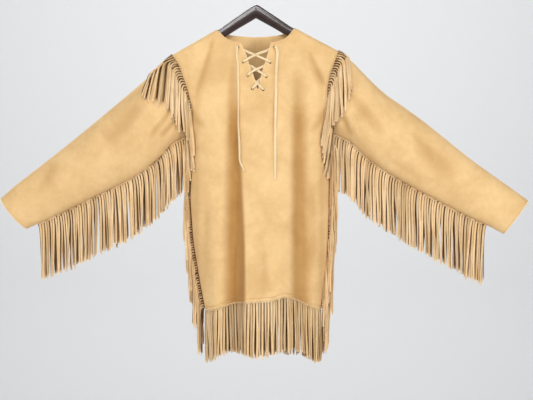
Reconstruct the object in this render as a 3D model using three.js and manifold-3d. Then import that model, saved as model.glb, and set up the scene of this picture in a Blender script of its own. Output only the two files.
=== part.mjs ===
// Fringed buckskin pull-over shirt on a plain hookless wooden hanger.
// Millimetres, +Z up. The front faces -Y and the sleeves reach out along -X and +X.
// The origin is the pin at the peak of the hanger, where the whole thing is held up.

import * as THREE from 'three';
import { mergeVertices } from 'three/addons/utils/BufferGeometryUtils.js';
import Module from 'manifold-3d';

const wasm = await Module();
wasm.setup();

// ---------------------------------------------------------------- driving dimensions

const SKIN = 2.0; // thickness of the buckskin
const SEAM = 0.3; // gap between pieces that meet at a seam
const FRONT = -1; // sign of y on the front of the shirt
const BACK = 1;

const SHOULDER_ROUND = 14; // reach of the fold over the hanger, front to back
const FRONT_SWELL = 46; // how far the front stands out past that fold
const BACK_SWELL = 42;
const SWELL_DROP = 260; // height over which the swell builds up
const ARMHOLE_SWELL = 31; // extra depth of the armhole at half its height
const HEM_FLARE = 8; // extra depth gained between waist and hem

const STRIP_DEPTH = 6; // width of the strip that each fringe is cut from
const STRAND_WIDTH = 4.6;
const STRAND_THICK = 2.0;

const EYELET = { bore: 1.8, barrel: 2.3, flange: 3.4, plate: 0.8, hole: 2.8, sides: 8 };
const LACE_RADIUS = 1.35;
const TAIL_RADIUS = 2.0;

const HANGER = { thick: 20, sides: 12 };
const PIN = { radius: 2.3, length: 2.2 };

// Sides of the body, from the shoulder tip down to the hem.
const LEFT_EDGE = [
  { z: -123.9, x: -225.7 },
  { z: -154.0, x: -206.5 },
  { z: -185.7, x: -194.3 },
  { z: -216.2, x: -182.7 },
  { z: -237.0, x: -177.0 },
  { z: -272.0, x: -170.0 },
  { z: -312.0, x: -173.0 },
  { z: -343.0, x: -182.0 },
  { z: -402.0, x: -173.0 },
  { z: -505.0, x: -177.0 },
  { z: -575.0, x: -173.0 },
  { z: -632.0, x: -168.0 },
  { z: -688.0, x: -159.0 },
  { z: -753.0, x: -148.0 },
  { z: -811.0, x: -137.0 },
];
const RIGHT_EDGE = [
  { z: -113.4, x: 222.2 },
  { z: -159.3, x: 205.5 },
  { z: -191.1, x: 194.8 },
  { z: -224.8, x: 189.5 },
  { z: -250.5, x: 192.0 },
  { z: -301.5, x: 197.5 },
  { z: -337.5, x: 207.9 },
  { z: -394.0, x: 199.5 },
  { z: -494.0, x: 198.2 },
  { z: -570.0, x: 196.3 },
  { z: -664.0, x: 192.5 },
  { z: -721.0, x: 187.0 },
  { z: -777.0, x: 179.0 },
  { z: -810.0, x: 175.0 },
];
const UNDERARM = { left: -343.0, right: -337.5 };

// Line of the cloth over the hanger: shoulder seams, and the hanger's own slope between them.
const SHOULDER_LINE = [
  { x: -225.7, z: -123.9 },
  { x: -105.6, z: -55.6 },
  { x: 0.0, z: 18.0 },
  { x: 104.5, z: -50.8 },
  { x: 222.2, z: -113.4 },
];
const NECK = { left: -105.6, right: 104.5 };

const FRONT_NECKLINE = [
  { x: -105.6, z: -55.6 },
  { x: -82.6, z: -77.8 },
  { x: -61.4, z: -89.6 },
  { x: -39.9, z: -93.8 },
  { x: 0.0, z: -95.0 },
  { x: 39.9, z: -93.2 },
  { x: 61.6, z: -88.8 },
  { x: 83.2, z: -76.5 },
  { x: 104.5, z: -50.8 },
];
const BACK_NECKLINE = [
  { x: -105.6, z: -55.6 },
  { x: -74.1, z: -67.9 },
  { x: -38.4, z: -71.7 },
  { x: 0.0, z: -73.4 },
  { x: 37.9, z: -71.7 },
  { x: 71.4, z: -66.5 },
  { x: 104.5, z: -50.8 },
];
const FRONT_HEM = [
  { x: -137.0, z: -811.0 },
  { x: -109.0, z: -807.0 },
  { x: -86.0, z: -797.5 },
  { x: -53.0, z: -788.2 },
  { x: -15.0, z: -786.0 },
  { x: 44.6, z: -781.0 },
  { x: 70.0, z: -773.0 },
  { x: 92.0, z: -774.0 },
  { x: 115.0, z: -783.0 },
  { x: 141.7, z: -796.5 },
  { x: 175.0, z: -810.0 },
];
const BACK_HEM = [
  { x: -137.0, z: -811.0 },
  { x: -95.0, z: -803.0 },
  { x: -40.0, z: -792.0 },
  { x: 20.0, z: -788.0 },
  { x: 75.0, z: -790.0 },
  { x: 130.0, z: -802.0 },
  { x: 175.0, z: -810.0 },
];

// Hanging folds: a line from (x0, z0) to (x1, z1), half widths and heights at both ends.
// A negative height is a trough.
const FRONT_FOLDS = [
  { x0: -50, z0: -250, x1: -57, z1: -820, width0: 16, width1: 27, rise0: 0, rise1: -24 },
  { x0: -30, z0: -470, x1: -27, z1: -820, width0: 9, width1: 11, rise0: 0, rise1: 6 },
  { x0: 108, z0: -110, x1: 119, z1: -820, width0: 17, width1: 23, rise0: -2, rise1: -17 },
  { x0: 36, z0: -420, x1: 32, z1: -820, width0: 34, width1: 30, rise0: 0, rise1: 7 },
  { x0: -98, z0: -480, x1: -108, z1: -820, width0: 22, width1: 20, rise0: 0, rise1: 6 },
  { x0: -112, z0: -80, x1: -168, z1: -290, width0: 9, width1: 13, rise0: -3, rise1: -4 },
  { x0: 138, z0: -112, x1: 180, z1: -230, width0: 9, width1: 12, rise0: -3, rise1: -4 },
  { x0: -63, z0: -120, x1: -65, z1: -420, width0: 13, width1: 15, rise0: -2, rise1: -4 },
];
const BACK_FOLDS = [
  { x0: 62, z0: -230, x1: 72, z1: -820, width0: 18, width1: 26, rise0: 0, rise1: -21 },
  { x0: -84, z0: -180, x1: -88, z1: -820, width0: 17, width1: 24, rise0: -1, rise1: -17 },
  { x0: -12, z0: -400, x1: -6, z1: -820, width0: 30, width1: 32, rise0: 0, rise1: 7 },
  { x0: 122, z0: -470, x1: 128, z1: -820, width0: 20, width1: 20, rise0: 0, rise1: 5 },
  { x0: 116, z0: -84, x1: 172, z1: -270, width0: 10, width1: 13, rise0: -3, rise1: -4 },
];

// Sleeve sections: top and underside of the tube, its centre in y and half its depth.
const LEFT_SLEEVE = [
  { topX: -225.7, topZ: -123.9, lowX: -182.0, lowZ: -343.0, y: 0, depth: 44 },
  { topX: -243.0, topZ: -141.0, lowX: -205.0, lowZ: -350.5, y: 5, depth: 46 },
  { topX: -266.0, topZ: -163.0, lowX: -232.0, lowZ: -367.0, y: 10, depth: 48 },
  { topX: -302.0, topZ: -192.0, lowX: -262.0, lowZ: -399.0, y: 18, depth: 50 },
  { topX: -346.0, topZ: -228.0, lowX: -302.0, lowZ: -432.0, y: 28, depth: 49 },
  { topX: -400.0, topZ: -271.5, lowX: -352.0, lowZ: -462.0, y: 41, depth: 47 },
  { topX: -456.0, topZ: -316.0, lowX: -405.0, lowZ: -487.5, y: 54, depth: 44 },
  { topX: -512.0, topZ: -359.5, lowX: -460.0, lowZ: -514.0, y: 68, depth: 40 },
  { topX: -566.0, topZ: -400.5, lowX: -513.0, lowZ: -539.5, y: 81, depth: 36 },
  { topX: -617.0, topZ: -438.5, lowX: -560.0, lowZ: -561.0, y: 92, depth: 32 },
  { topX: -663.0, topZ: -473.0, lowX: -600.0, lowZ: -579.0, y: 101, depth: 28 },
  { topX: -707.0, topZ: -510.0, lowX: -633.8, lowZ: -594.5, y: 108, depth: 24 },
];
const RIGHT_SLEEVE = [
  { topX: 222.2, topZ: -113.4, lowX: 207.9, lowZ: -337.5, y: 0, depth: 44 },
  { topX: 241.0, topZ: -128.0, lowX: 230.0, lowZ: -345.5, y: 0, depth: 46 },
  { topX: 266.0, topZ: -149.0, lowX: 256.0, lowZ: -358.5, y: 0, depth: 48 },
  { topX: 304.0, topZ: -188.0, lowX: 283.0, lowZ: -385.0, y: 0, depth: 50 },
  { topX: 349.0, topZ: -230.0, lowX: 318.0, lowZ: -415.0, y: 0, depth: 49 },
  { topX: 400.0, topZ: -265.5, lowX: 362.0, lowZ: -445.0, y: 0, depth: 47 },
  { topX: 456.0, topZ: -306.5, lowX: 412.0, lowZ: -474.5, y: 0, depth: 44 },
  { topX: 516.0, topZ: -354.5, lowX: 464.0, lowZ: -502.5, y: 0, depth: 40 },
  { topX: 578.0, topZ: -404.5, lowX: 520.0, lowZ: -532.0, y: 0, depth: 36 },
  { topX: 636.0, topZ: -446.5, lowX: 576.0, lowZ: -561.0, y: 0, depth: 32 },
  { topX: 694.0, topZ: -487.8, lowX: 628.0, lowZ: -586.0, y: 0, depth: 28 },
  { topX: 734.9, topZ: -517.6, lowX: 668.3, lowZ: -607.2, y: 0, depth: 24 },
];

// Slit below the neckline, left and right edge from the top down to its point.
const SLIT = [
  { z: -60, left: -45, right: 45 },
  { z: -94, left: -40, right: 40 },
  { z: -124, left: -27, right: 31.5 },
  { z: -150, left: -18.5, right: 24 },
  { z: -177, left: -8.5, right: 15.5 },
  { z: -196, left: -1, right: 10 },
  { z: -211, left: 4, right: 5 },
];
const EYELETS = [
  { name: 'eyelet_left_1', x: -47.6, z: -106.2 },
  { name: 'eyelet_left_2', x: -33.7, z: -147.6 },
  { name: 'eyelet_left_3', x: -21.4, z: -184.5 },
  { name: 'eyelet_left_4', x: -9.3, z: -220.3 },
  { name: 'eyelet_right_1', x: 50.0, z: -105.4 },
  { name: 'eyelet_right_2', x: 38.5, z: -148.4 },
  { name: 'eyelet_right_3', x: 27.8, z: -187.5 },
  { name: 'eyelet_right_4', x: 19.5, z: -222.7 },
];

// The laced stretch, from the upper left eyelet to the upper right one.
// out is the height of the lace's middle over the outer face of the skin.
const LACE = [
  { eyelet: 'eyelet_left_1', from: 2.4, to: -4.2 },
  { x: -38, z: -110.5, out: -4.4 },
  { x: -27, z: -116, out: -4.2 },
  { x: 1, z: -129, out: -0.9 },
  { x: 24, z: -140, out: 2.0 },
  { x: 32, z: -144, out: 3.2 },
  { eyelet: 'eyelet_right_2', from: 3.2, to: -4.2 },
  { x: 29, z: -153, out: -4.4 },
  { x: 20, z: -158, out: -3.2 },
  { x: 3, z: -167, out: 2.4 },
  { x: -3, z: -169.5, out: -1.2 },
  { x: -8, z: -173, out: -4.2 },
  { x: -14, z: -179, out: -4.6 },
  { eyelet: 'eyelet_left_3', from: -4.2, to: 3.2 },
  { x: -15, z: -191, out: 3.0 },
  { x: 3, z: -206, out: 2.0 },
  { x: 13, z: -217, out: 3.0 },
  { eyelet: 'eyelet_right_4', from: 3.2, to: -4.2 },
  { x: 12, z: -223, out: -4.4 },
  { x: -2, z: -222, out: -4.4 },
  { eyelet: 'eyelet_left_4', from: -4.2, to: 3.2 },
  { x: -4, z: -214, out: 4.6 },
  { x: 4, z: -205, out: 5.2 },
  { x: 5.6, z: -199.5, out: 1.0 },
  { x: 8, z: -196, out: -3.8 },
  { x: 13, z: -192.5, out: -4.7 },
  { x: 21, z: -189.5, out: -4.4 },
  { eyelet: 'eyelet_right_3', from: -4.2, to: 3.2 },
  { x: 21, z: -183, out: 3.0 },
  { x: 14, z: -177, out: 1.6 },
  { x: 1, z: -167.5, out: -1.6 },
  { x: -13, z: -158, out: -3.8 },
  { x: -25, z: -151, out: -4.6 },
  { eyelet: 'eyelet_left_2', from: -4.2, to: 3.2 },
  { x: -26, z: -142, out: 3.0 },
  { x: 0, z: -128, out: 3.0 },
  { x: 22, z: -117.5, out: -3.0 },
  { x: 40, z: -109, out: -4.6 },
  { eyelet: 'eyelet_right_1', from: -4.2, to: 2.4 },
];

// Loose ends of the lace, from the upper eyelets down.
const LEFT_TAIL = [
  { x: -47.6, z: -106.2, out: 2.8 },
  { x: -47.6, z: -106.2, out: 4.4 },
  { x: -48.4, z: -108.4, out: 6.6 },
  { x: -49.6, z: -114.0, out: 6.2 },
  { x: -50.5, z: -126.0, out: 3.2 },
  { x: -47.2, z: -153.0, out: 2.7 },
  { x: -46.0, z: -226.0, out: 2.7 },
  { x: -45.2, z: -308.0, out: 2.7 },
  { x: -42.4, z: -362.0, out: 2.7 },
  { x: -39.9, z: -420.0, out: 2.7 },
  { x: -36.0, z: -433.0, out: 3.4 },
  { x: -29.0, z: -438.5, out: 4.4 },
];
const RIGHT_TAIL = [
  { x: 50.0, z: -105.4, out: 2.8 },
  { x: 50.0, z: -105.4, out: 4.4 },
  { x: 51.6, z: -107.6, out: 6.6 },
  { x: 55.0, z: -113.0, out: 6.2 },
  { x: 57.2, z: -126.0, out: 3.2 },
  { x: 54.0, z: -172.0, out: 2.7 },
  { x: 52.6, z: -280.0, out: 2.7 },
  { x: 51.2, z: -389.0, out: 2.7 },
  { x: 50.7, z: -462.5, out: 2.9 },
];

// Sections of the hanger from tip to tip: its upper and its lower edge.
const HANGER_SECTIONS = [
  { topX: -200.0, topZ: -117.0, lowX: -198.0, lowZ: -123.0, thick: 7 },
  { topX: -196.0, topZ: -110.8, lowX: -191.0, lowZ: -128.0, thick: 15 },
  { topX: -188.0, topZ: -105.8, lowX: -179.0, lowZ: -127.0, thick: 20 },
  { topX: -110.0, topZ: -61.4, lowX: -98.0, lowZ: -84.0, thick: 20 },
  { topX: -92.0, topZ: -51.0, lowX: -76.5, lowZ: -71.6, thick: 20 },
  { topX: -60.0, topZ: -27.6, lowX: -44.0, lowZ: -51.0, thick: 20 },
  { topX: 0.0, topZ: 14.3, lowX: 0.0, lowZ: -25.4, thick: 20 },
  { topX: 60.0, topZ: -25.4, lowX: 44.0, lowZ: -49.4, thick: 20 },
  { topX: 92.0, topZ: -47.2, lowX: 77.5, lowZ: -69.0, thick: 20 },
  { topX: 110.0, topZ: -56.8, lowX: 99.0, lowZ: -79.5, thick: 20 },
  { topX: 188.0, topZ: -98.6, lowX: 180.0, lowZ: -120.0, thick: 20 },
  { topX: 196.0, topZ: -103.4, lowX: 191.5, lowZ: -120.6, thick: 15 },
  { topX: 200.0, topZ: -109.6, lowX: 198.4, lowZ: -115.6, thick: 7 },
];

// How the fringes hang: how many strands, how long, how far apart in depth.
const SLEEVE_FRINGE = { count: 28, first: 1.4, last: 10.2, length: 148 };
const ARMHOLE_FRINGE = { count: 16, length: 142 };
const SIDE_FRINGE = { count: 15, length: 132 };
const HEM_FRINGE = { count: 25, length: 141 };

// Rows of the body walls: parts of the armhole's height, then of the side seam's.
const ARMHOLE_ROWS = [0, 0.009, 0.027, 0.06, 0.12, 0.23, 0.39, 0.57, 0.75, 0.91, 1];
const SIDE_ROWS = 9;
const SHOULDER_COLUMNS = [0, 0.08, 0.22, 0.42, 0.7, 1];
const NECK_COLUMNS = [0.012, 0.035, 0.08, 0.17, 0.28, 0.39, 0.5, 0.61, 0.72, 0.83, 0.92, 0.965, 0.988];

// ---------------------------------------------------------------- materials

const BUCKSKIN = { color: 0xe6c189, roughness: 0.95, metalness: 0 };
const FRINGE = { color: 0xe0b87c, roughness: 0.92, metalness: 0 };
const THONG = { color: 0xe8c68f, roughness: 0.9, metalness: 0 };
const EYELET_METAL = { color: 0x8d8f96, roughness: 0.35, metalness: 1 };
const DARK_WOOD = { color: 0x3c2a26, roughness: 0.3, metalness: 0 };
const PIN_METAL = { color: 0xb9b2a4, roughness: 0.3, metalness: 1 };

// ---------------------------------------------------------------- small helpers

function clamp(value, low, high) {
  return Math.min(Math.max(value, low), high);
}

function mix(a, b, part) {
  return a + (b - a) * part;
}

function ease(value) {
  const t = clamp(value, 0, 1);
  return t * t * (3 - 2 * t);
}

// Uneven but repeatable number between -1 and 1.
function uneven(index, seed) {
  const wave = Math.sin(index * 12.9898 + seed * 78.233) * 43758.5453;
  return 2 * (wave - Math.floor(wave)) - 1;
}

// Smooth reading of one column of a table at a value of its key column.
function read(rows, key, column, value) {
  const rising = rows[rows.length - 1][key] > rows[0][key];
  const table = rising ? rows : rows.slice().reverse();
  const at = clamp(value, table[0][key], table[table.length - 1][key]);
  let i = 0;
  while (i < table.length - 2 && table[i + 1][key] < at) {
    i += 1;
  }
  const before = table[Math.max(i - 1, 0)];
  const from = table[i];
  const to = table[i + 1];
  const after = table[Math.min(i + 2, table.length - 1)];
  const span = to[key] - from[key];
  const slopeFrom = (to[column] - before[column]) / (to[key] - before[key]);
  const slopeTo = (after[column] - from[column]) / (after[key] - from[key]);
  const t = (at - from[key]) / span;
  const rise = (2 * t ** 3 - 3 * t ** 2 + 1) * from[column] + (3 * t ** 2 - 2 * t ** 3) * to[column];
  return rise + span * ((t ** 3 - 2 * t ** 2 + t) * slopeFrom + (t ** 3 - t ** 2) * slopeTo);
}

// Straight reading of a table of x and z.
function readStraight(rows, x) {
  const at = clamp(x, rows[0].x, rows[rows.length - 1].x);
  let i = 0;
  while (i < rows.length - 2 && rows[i + 1].x < at) {
    i += 1;
  }
  return mix(rows[i].z, rows[i + 1].z, (at - rows[i].x) / (rows[i + 1].x - rows[i].x));
}

// ---------------------------------------------------------------- form of the body

// Height of a section of the fold over the hanger, as a quarter round.
function shoulderRound(drop) {
  const part = clamp(drop / SHOULDER_ROUND, 0, 1);
  return SHOULDER_ROUND * Math.sqrt(1 - (1 - part) ** 2);
}

function foldRise(folds, x, z) {
  let rise = 0;
  for (const fold of folds) {
    const part = (fold.z0 - z) / (fold.z0 - fold.z1);
    const inside = ease(clamp(part, 0, 1) * 4) * ease((1.25 - part) * 4);
    const along = clamp(part, 0, 1);
    const middle = mix(fold.x0, fold.x1, along);
    const width = mix(fold.width0, fold.width1, along);
    rise += inside * mix(fold.rise0, fold.rise1, along) * Math.exp(-(((x - middle) / width) ** 2));
  }
  return rise;
}

// Depth of the armhole's edge, from the shoulder tip down to the underarm.
function armholeDepth(drop, tipZ, underarmZ, z) {
  const part = clamp((tipZ - z) / (tipZ - underarmZ), 0, 1);
  const closing = part < 0.6 ? 1 : Math.sqrt(Math.max(0, 1 - ((part - 0.6) / 0.4) ** 2));
  return (shoulderRound(drop) + ARMHOLE_SWELL * Math.sin(Math.PI * part)) * closing;
}

// How far the outer face stands from the plane y = 0 at (x, z), on the front or the back.
function bodyDepth(face, x, z) {
  const leftX = read(LEFT_EDGE, 'z', 'x', z);
  const rightX = read(RIGHT_EDGE, 'z', 'x', z);
  const across = clamp((2 * x - leftX - rightX) / (rightX - leftX), -1, 1);
  const middle = Math.sqrt(Math.max(0, 1 - Math.abs(across) ** 2.3));
  const drop = readStraight(SHOULDER_LINE, x) - z;
  const swell = face === FRONT ? FRONT_SWELL : BACK_SWELL;
  const flare = HEM_FLARE * ease((-500 - z) / 300);
  const folds = foldRise(face === FRONT ? FRONT_FOLDS : BACK_FOLDS, x, z);
  const full = shoulderRound(drop) + swell * ease(drop / SWELL_DROP) + flare + folds;
  const tip = across < 0 ? LEFT_EDGE[0].z : RIGHT_EDGE[0].z;
  const underarm = across < 0 ? UNDERARM.left : UNDERARM.right;
  return middle * full + (1 - middle) * armholeDepth(drop, tip, underarm, z);
}

// Outward direction of the outer face at (x, z).
function bodyNormal(face, x, z) {
  const slopeX = (bodyDepth(face, x + 1, z) - bodyDepth(face, x - 1, z)) / 2;
  const slopeZ = (bodyDepth(face, x, z + 1) - bodyDepth(face, x, z - 1)) / 2;
  return new THREE.Vector3(-slopeX, face, -slopeZ).normalize();
}

function bodyPoint(face, x, z, out) {
  const depth = Math.max(bodyDepth(face, x, z), SEAM / 2);
  return new THREE.Vector3(x, face * depth, z).addScaledVector(bodyNormal(face, x, z), out);
}

// Outer and inner points of one body wall, row by row from shoulder to hem.
function bodyGrid(face) {
  const neckline = face === FRONT ? FRONT_NECKLINE : BACK_NECKLINE;
  const hem = face === FRONT ? FRONT_HEM : BACK_HEM;
  const tipLeft = LEFT_EDGE[0];
  const tipRight = RIGHT_EDGE[0];
  const hemLeft = hem[0];
  const hemRight = hem[hem.length - 1];

  const tops = SHOULDER_COLUMNS.map((part) => mix(tipLeft.x, NECK.left, part));
  for (const part of NECK_COLUMNS) {
    tops.push(mix(NECK.left, NECK.right, part));
  }
  for (const part of SHOULDER_COLUMNS.slice().reverse()) {
    tops.push(mix(tipRight.x, NECK.right, part));
  }
  const rows = ARMHOLE_ROWS.map((part) => ({ part, side: false }));
  for (let i = 1; i <= SIDE_ROWS; i += 1) {
    rows.push({ part: i / SIDE_ROWS, side: true });
  }

  const outer = [];
  const inner = [];
  rows.forEach((row, rowIndex) => {
    const leftZ = row.side
      ? mix(UNDERARM.left, hemLeft.z, row.part)
      : mix(tipLeft.z, UNDERARM.left, row.part);
    const rightZ = row.side
      ? mix(UNDERARM.right, hemRight.z, row.part)
      : mix(tipRight.z, UNDERARM.right, row.part);
    const down = (tipLeft.z - leftZ) / (tipLeft.z - hemLeft.z);
    const leftX = read(LEFT_EDGE, 'z', 'x', leftZ);
    const rightX = read(RIGHT_EDGE, 'z', 'x', rightZ);
    const leftShift = leftX - mix(tipLeft.x, hemLeft.x, down);
    const rightShift = rightX - mix(tipRight.x, hemRight.x, down);
    const rightDrop = rightZ - mix(tipRight.z, hemRight.z, down);

    const outerRow = [];
    const innerRow = [];
    tops.forEach((topX, column) => {
      const part = (topX - tipLeft.x) / (tipRight.x - tipLeft.x);
      const open = topX > NECK.left + 0.1 && topX < NECK.right - 0.1;
      const topZ = open ? read(neckline, 'x', 'z', topX) : readStraight(SHOULDER_LINE, topX);
      const hemX = mix(hemLeft.x, hemRight.x, part);
      const hemZ = read(hem, 'x', 'z', hemX);
      const x = mix(topX, hemX, down) + (1 - part) * leftShift + part * rightShift;
      const z = mix(topZ, hemZ, down) + part * rightDrop;
      const normal = bodyNormal(face, x, z);
      const atSide = column === 0 || column === tops.length - 1;
      const sideSign = column === 0 ? -1 : 1;
      const depth = bodyDepth(face, x, z);
      const point = new THREE.Vector3(x, face * Math.max(depth, SEAM / 2), z);
      if (rowIndex === 0 && !open) {
        normal.set(Math.sign(topX) * 0.5, 0, 0.87).normalize();
      } else if (atSide && (row.side || row.part === 1)) {
        normal.set(sideSign, 0, row.part === 1 && !row.side ? -1 : 0).normalize();
      } else if (atSide) {
        const lean = clamp(normal.z, -0.9, 0.9);
        normal.set(sideSign * Math.abs(lean) * (lean > 0 ? 0.57 : 1), face, lean).normalize();
      }
      outerRow.push(point);
      innerRow.push(point.clone().addScaledVector(normal, -SKIN));
    });
    outer.push(outerRow);
    inner.push(innerRow);
  });
  return { outer, inner };
}

// ---------------------------------------------------------------- solids from points

// Closed mesh from a list of points and faces, turned so that its faces point out.
function closedGeometry(points, faces) {
  let volume = 0;
  for (const [a, b, c] of faces) {
    volume += points[a].dot(points[b].clone().cross(points[c]));
  }
  const index = volume > 0 ? faces.flat() : faces.flatMap(([a, b, c]) => [a, c, b]);
  const geometry = new THREE.BufferGeometry();
  geometry.setAttribute('position', new THREE.Float32BufferAttribute(points.flatMap((p) => p.toArray()), 3));
  geometry.setIndex(index);
  return geometry;
}

// Wall between an outer and an inner grid of points. A tube's rows close on themselves.
function wallGeometry(grid, isTube) {
  const rows = grid.outer.length;
  const columns = grid.outer[0].length;
  const points = [...grid.outer.flat(), ...grid.inner.flat()];
  const faces = [];
  const at = (layer, row, column) => layer * rows * columns + row * columns + (column % columns);
  const quad = (a, b, c, d) => {
    faces.push([a, b, c], [a, c, d]);
  };
  const spans = isTube ? columns : columns - 1;
  for (let row = 0; row < rows - 1; row += 1) {
    for (let column = 0; column < spans; column += 1) {
      quad(at(0, row, column), at(0, row, column + 1), at(0, row + 1, column + 1), at(0, row + 1, column));
      quad(at(1, row, column), at(1, row + 1, column), at(1, row + 1, column + 1), at(1, row, column + 1));
    }
    if (!isTube) {
      quad(at(0, row, 0), at(0, row + 1, 0), at(1, row + 1, 0), at(1, row, 0));
      const last = columns - 1;
      quad(at(0, row, last), at(1, row, last), at(1, row + 1, last), at(0, row + 1, last));
    }
  }
  for (let column = 0; column < spans; column += 1) {
    quad(at(0, 0, column), at(1, 0, column), at(1, 0, column + 1), at(0, 0, column + 1));
    const low = rows - 1;
    quad(at(0, low, column), at(0, low, column + 1), at(1, low, column + 1), at(1, low, column));
  }
  return closedGeometry(points, faces);
}

// Solid through rings of the same number of points, closed at both ends.
function loftGeometry(rings) {
  const size = rings[0].length;
  const points = rings.flat();
  const faces = [];
  for (let ring = 0; ring < rings.length - 1; ring += 1) {
    for (let i = 0; i < size; i += 1) {
      const a = ring * size + i;
      const b = ring * size + ((i + 1) % size);
      faces.push([a, b, b + size], [a, b + size, a + size]);
    }
  }
  const end = (rings.length - 1) * size;
  for (let i = 1; i < size - 1; i += 1) {
    faces.push([0, i + 1, i], [end, end + i, end + i + 1]);
  }
  return closedGeometry(points, faces);
}

function toSolid(geometry) {
  const bare = geometry.clone();
  bare.deleteAttribute('normal');
  bare.deleteAttribute('uv');
  const merged = mergeVertices(bare, 1e-4);
  const mesh = new wasm.Mesh({
    numProp: 3,
    vertProperties: new Float32Array(merged.attributes.position.array),
    triVerts: new Uint32Array(merged.index.array),
  });
  return new wasm.Manifold(mesh);
}

function fromSolid(solid) {
  const mesh = solid.getMesh();
  const geometry = new THREE.BufferGeometry();
  geometry.setAttribute('position', new THREE.BufferAttribute(mesh.vertProperties, 3));
  geometry.setIndex(new THREE.BufferAttribute(mesh.triVerts, 1));
  return geometry;
}

const group = new THREE.Group();

function addPiece(name, geometry, finish) {
  const piece = new THREE.Mesh(geometry, new THREE.MeshStandardMaterial(finish));
  piece.name = name;
  group.add(piece);
  return piece;
}

// Turns a geometry made around +Z, with its middle at the origin, onto a place of the front.
function placeOnFront(geometry, x, z) {
  const normal = bodyNormal(FRONT, x, z);
  const turn = new THREE.Quaternion().setFromUnitVectors(new THREE.Vector3(0, 0, 1), normal);
  const place = bodyPoint(FRONT, x, z, 0);
  geometry.applyQuaternion(turn);
  geometry.translate(place.x, place.y, place.z);
  return geometry;
}

// ---------------------------------------------------------------- front and back

const frontGrid = bodyGrid(FRONT);
const backGrid = bodyGrid(BACK);

function slitCutter() {
  const outline = new THREE.Shape();
  outline.moveTo(SLIT[0].left, SLIT[0].z);
  for (const row of SLIT.slice(1)) {
    outline.lineTo(row.left, row.z);
  }
  for (const row of SLIT.slice().reverse()) {
    outline.lineTo(row.right, row.z);
  }
  const cutter = new THREE.ExtrudeGeometry(outline, { depth: 120, bevelEnabled: false });
  return cutter.rotateX(Math.PI / 2);
}

let frontSolid = toSolid(wallGeometry(frontGrid, false)).subtract(toSolid(slitCutter()));
for (const eyelet of EYELETS) {
  const drill = new THREE.CylinderGeometry(EYELET.hole, EYELET.hole, 16, EYELET.sides);
  drill.rotateX(Math.PI / 2);
  frontSolid = frontSolid.subtract(toSolid(placeOnFront(drill, eyelet.x, eyelet.z)));
}
addPiece('front', fromSolid(frontSolid), BUCKSKIN);
addPiece('back', wallGeometry(backGrid, false), BUCKSKIN);

// ---------------------------------------------------------------- sleeves

// Corner of the armhole at each row, going down the front and up the back.
function armholeLoop(column) {
  const rows = ARMHOLE_ROWS.length;
  const loop = [];
  for (let row = 0; row < rows; row += 1) {
    const point = frontGrid.outer[row][column].clone();
    const under = frontGrid.inner[row][column].clone();
    if (row === 0 || row === rows - 1) {
      point.y = 0;
      under.y = 0;
    }
    loop.push({ outer: point, inner: under, part: ARMHOLE_ROWS[row] / 2 });
  }
  for (let row = rows - 2; row > 0; row -= 1) {
    loop.push({
      outer: backGrid.outer[row][column].clone(),
      inner: backGrid.inner[row][column].clone(),
      part: 1 - ARMHOLE_ROWS[row] / 2,
    });
  }
  return loop;
}

// Point of the plain sleeve tube; turn goes once round from the top, front first.
function tubePoint(section, turn, inset) {
  const share = turn <= 0.5 ? turn * 2 : 2 - turn * 2;
  const faceSign = turn <= 0.5 ? FRONT : BACK;
  const height = 1 - 2 * share;
  const width = Math.sqrt(Math.max(0, 1 - height * height));
  const length = Math.hypot(section.topX - section.lowX, section.topZ - section.lowZ) / 2;
  const reach = (length - inset) / length;
  return new THREE.Vector3(
    mix(section.lowX, section.topX, 0.5 + (height * reach) / 2),
    section.y + faceSign * width * (section.depth - inset),
    mix(section.lowZ, section.topZ, 0.5 + (height * reach) / 2),
  );
}

// Rings of a sleeve. The first follows the armhole and the next ones ease into the tube.
function sleeveGrid(sections, loop) {
  const side = Math.sign(sections[0].topX);
  const away = new THREE.Vector3(side * 0.78, 0, -0.62).multiplyScalar(SEAM);
  const outer = [];
  const inner = [];
  sections.forEach((section, index) => {
    const keep = 1 - ease(index / 3);
    outer.push(
      loop.map((corner) => {
        const shift = corner.outer.clone().sub(tubePoint(sections[0], corner.part, 0));
        return tubePoint(section, corner.part, 0).addScaledVector(shift, keep).add(away);
      }),
    );
    inner.push(
      loop.map((corner) => {
        const shift = corner.inner.clone().sub(tubePoint(sections[0], corner.part, SKIN));
        return tubePoint(section, corner.part, SKIN).addScaledVector(shift, keep).add(away);
      }),
    );
  });
  return { outer, inner };
}

const lastColumn = frontGrid.outer[0].length - 1;
const leftLoop = armholeLoop(0);
const rightLoop = armholeLoop(lastColumn);
const leftSleeve = sleeveGrid(LEFT_SLEEVE, leftLoop);
const rightSleeve = sleeveGrid(RIGHT_SLEEVE, rightLoop);
addPiece('sleeve_left', wallGeometry(leftSleeve, true), BUCKSKIN);
addPiece('sleeve_right', wallGeometry(rightSleeve, true), BUCKSKIN);

// ---------------------------------------------------------------- fringes

// Three-sided strand along a path, its flat side across the given direction.
function strandGeometry(path, across) {
  const rings = path.map((point, i) => {
    const before = path[Math.max(i - 1, 0)];
    const after = path[Math.min(i + 1, path.length - 1)];
    const along = after.clone().sub(before).normalize();
    const side = across.clone().addScaledVector(along, -across.dot(along)).normalize();
    const out = along.clone().cross(side);
    const taper = i === path.length - 1 ? 0.6 : 1;
    const half = (STRAND_WIDTH / 2) * taper;
    return [
      point.clone().addScaledVector(side, half).addScaledVector(out, -STRAND_THICK / 3),
      point.clone().addScaledVector(side, -half).addScaledVector(out, -STRAND_THICK / 3),
      point.clone().addScaledVector(out, (STRAND_THICK * 2) / 3),
    ];
  });
  return loftGeometry(rings);
}

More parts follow.
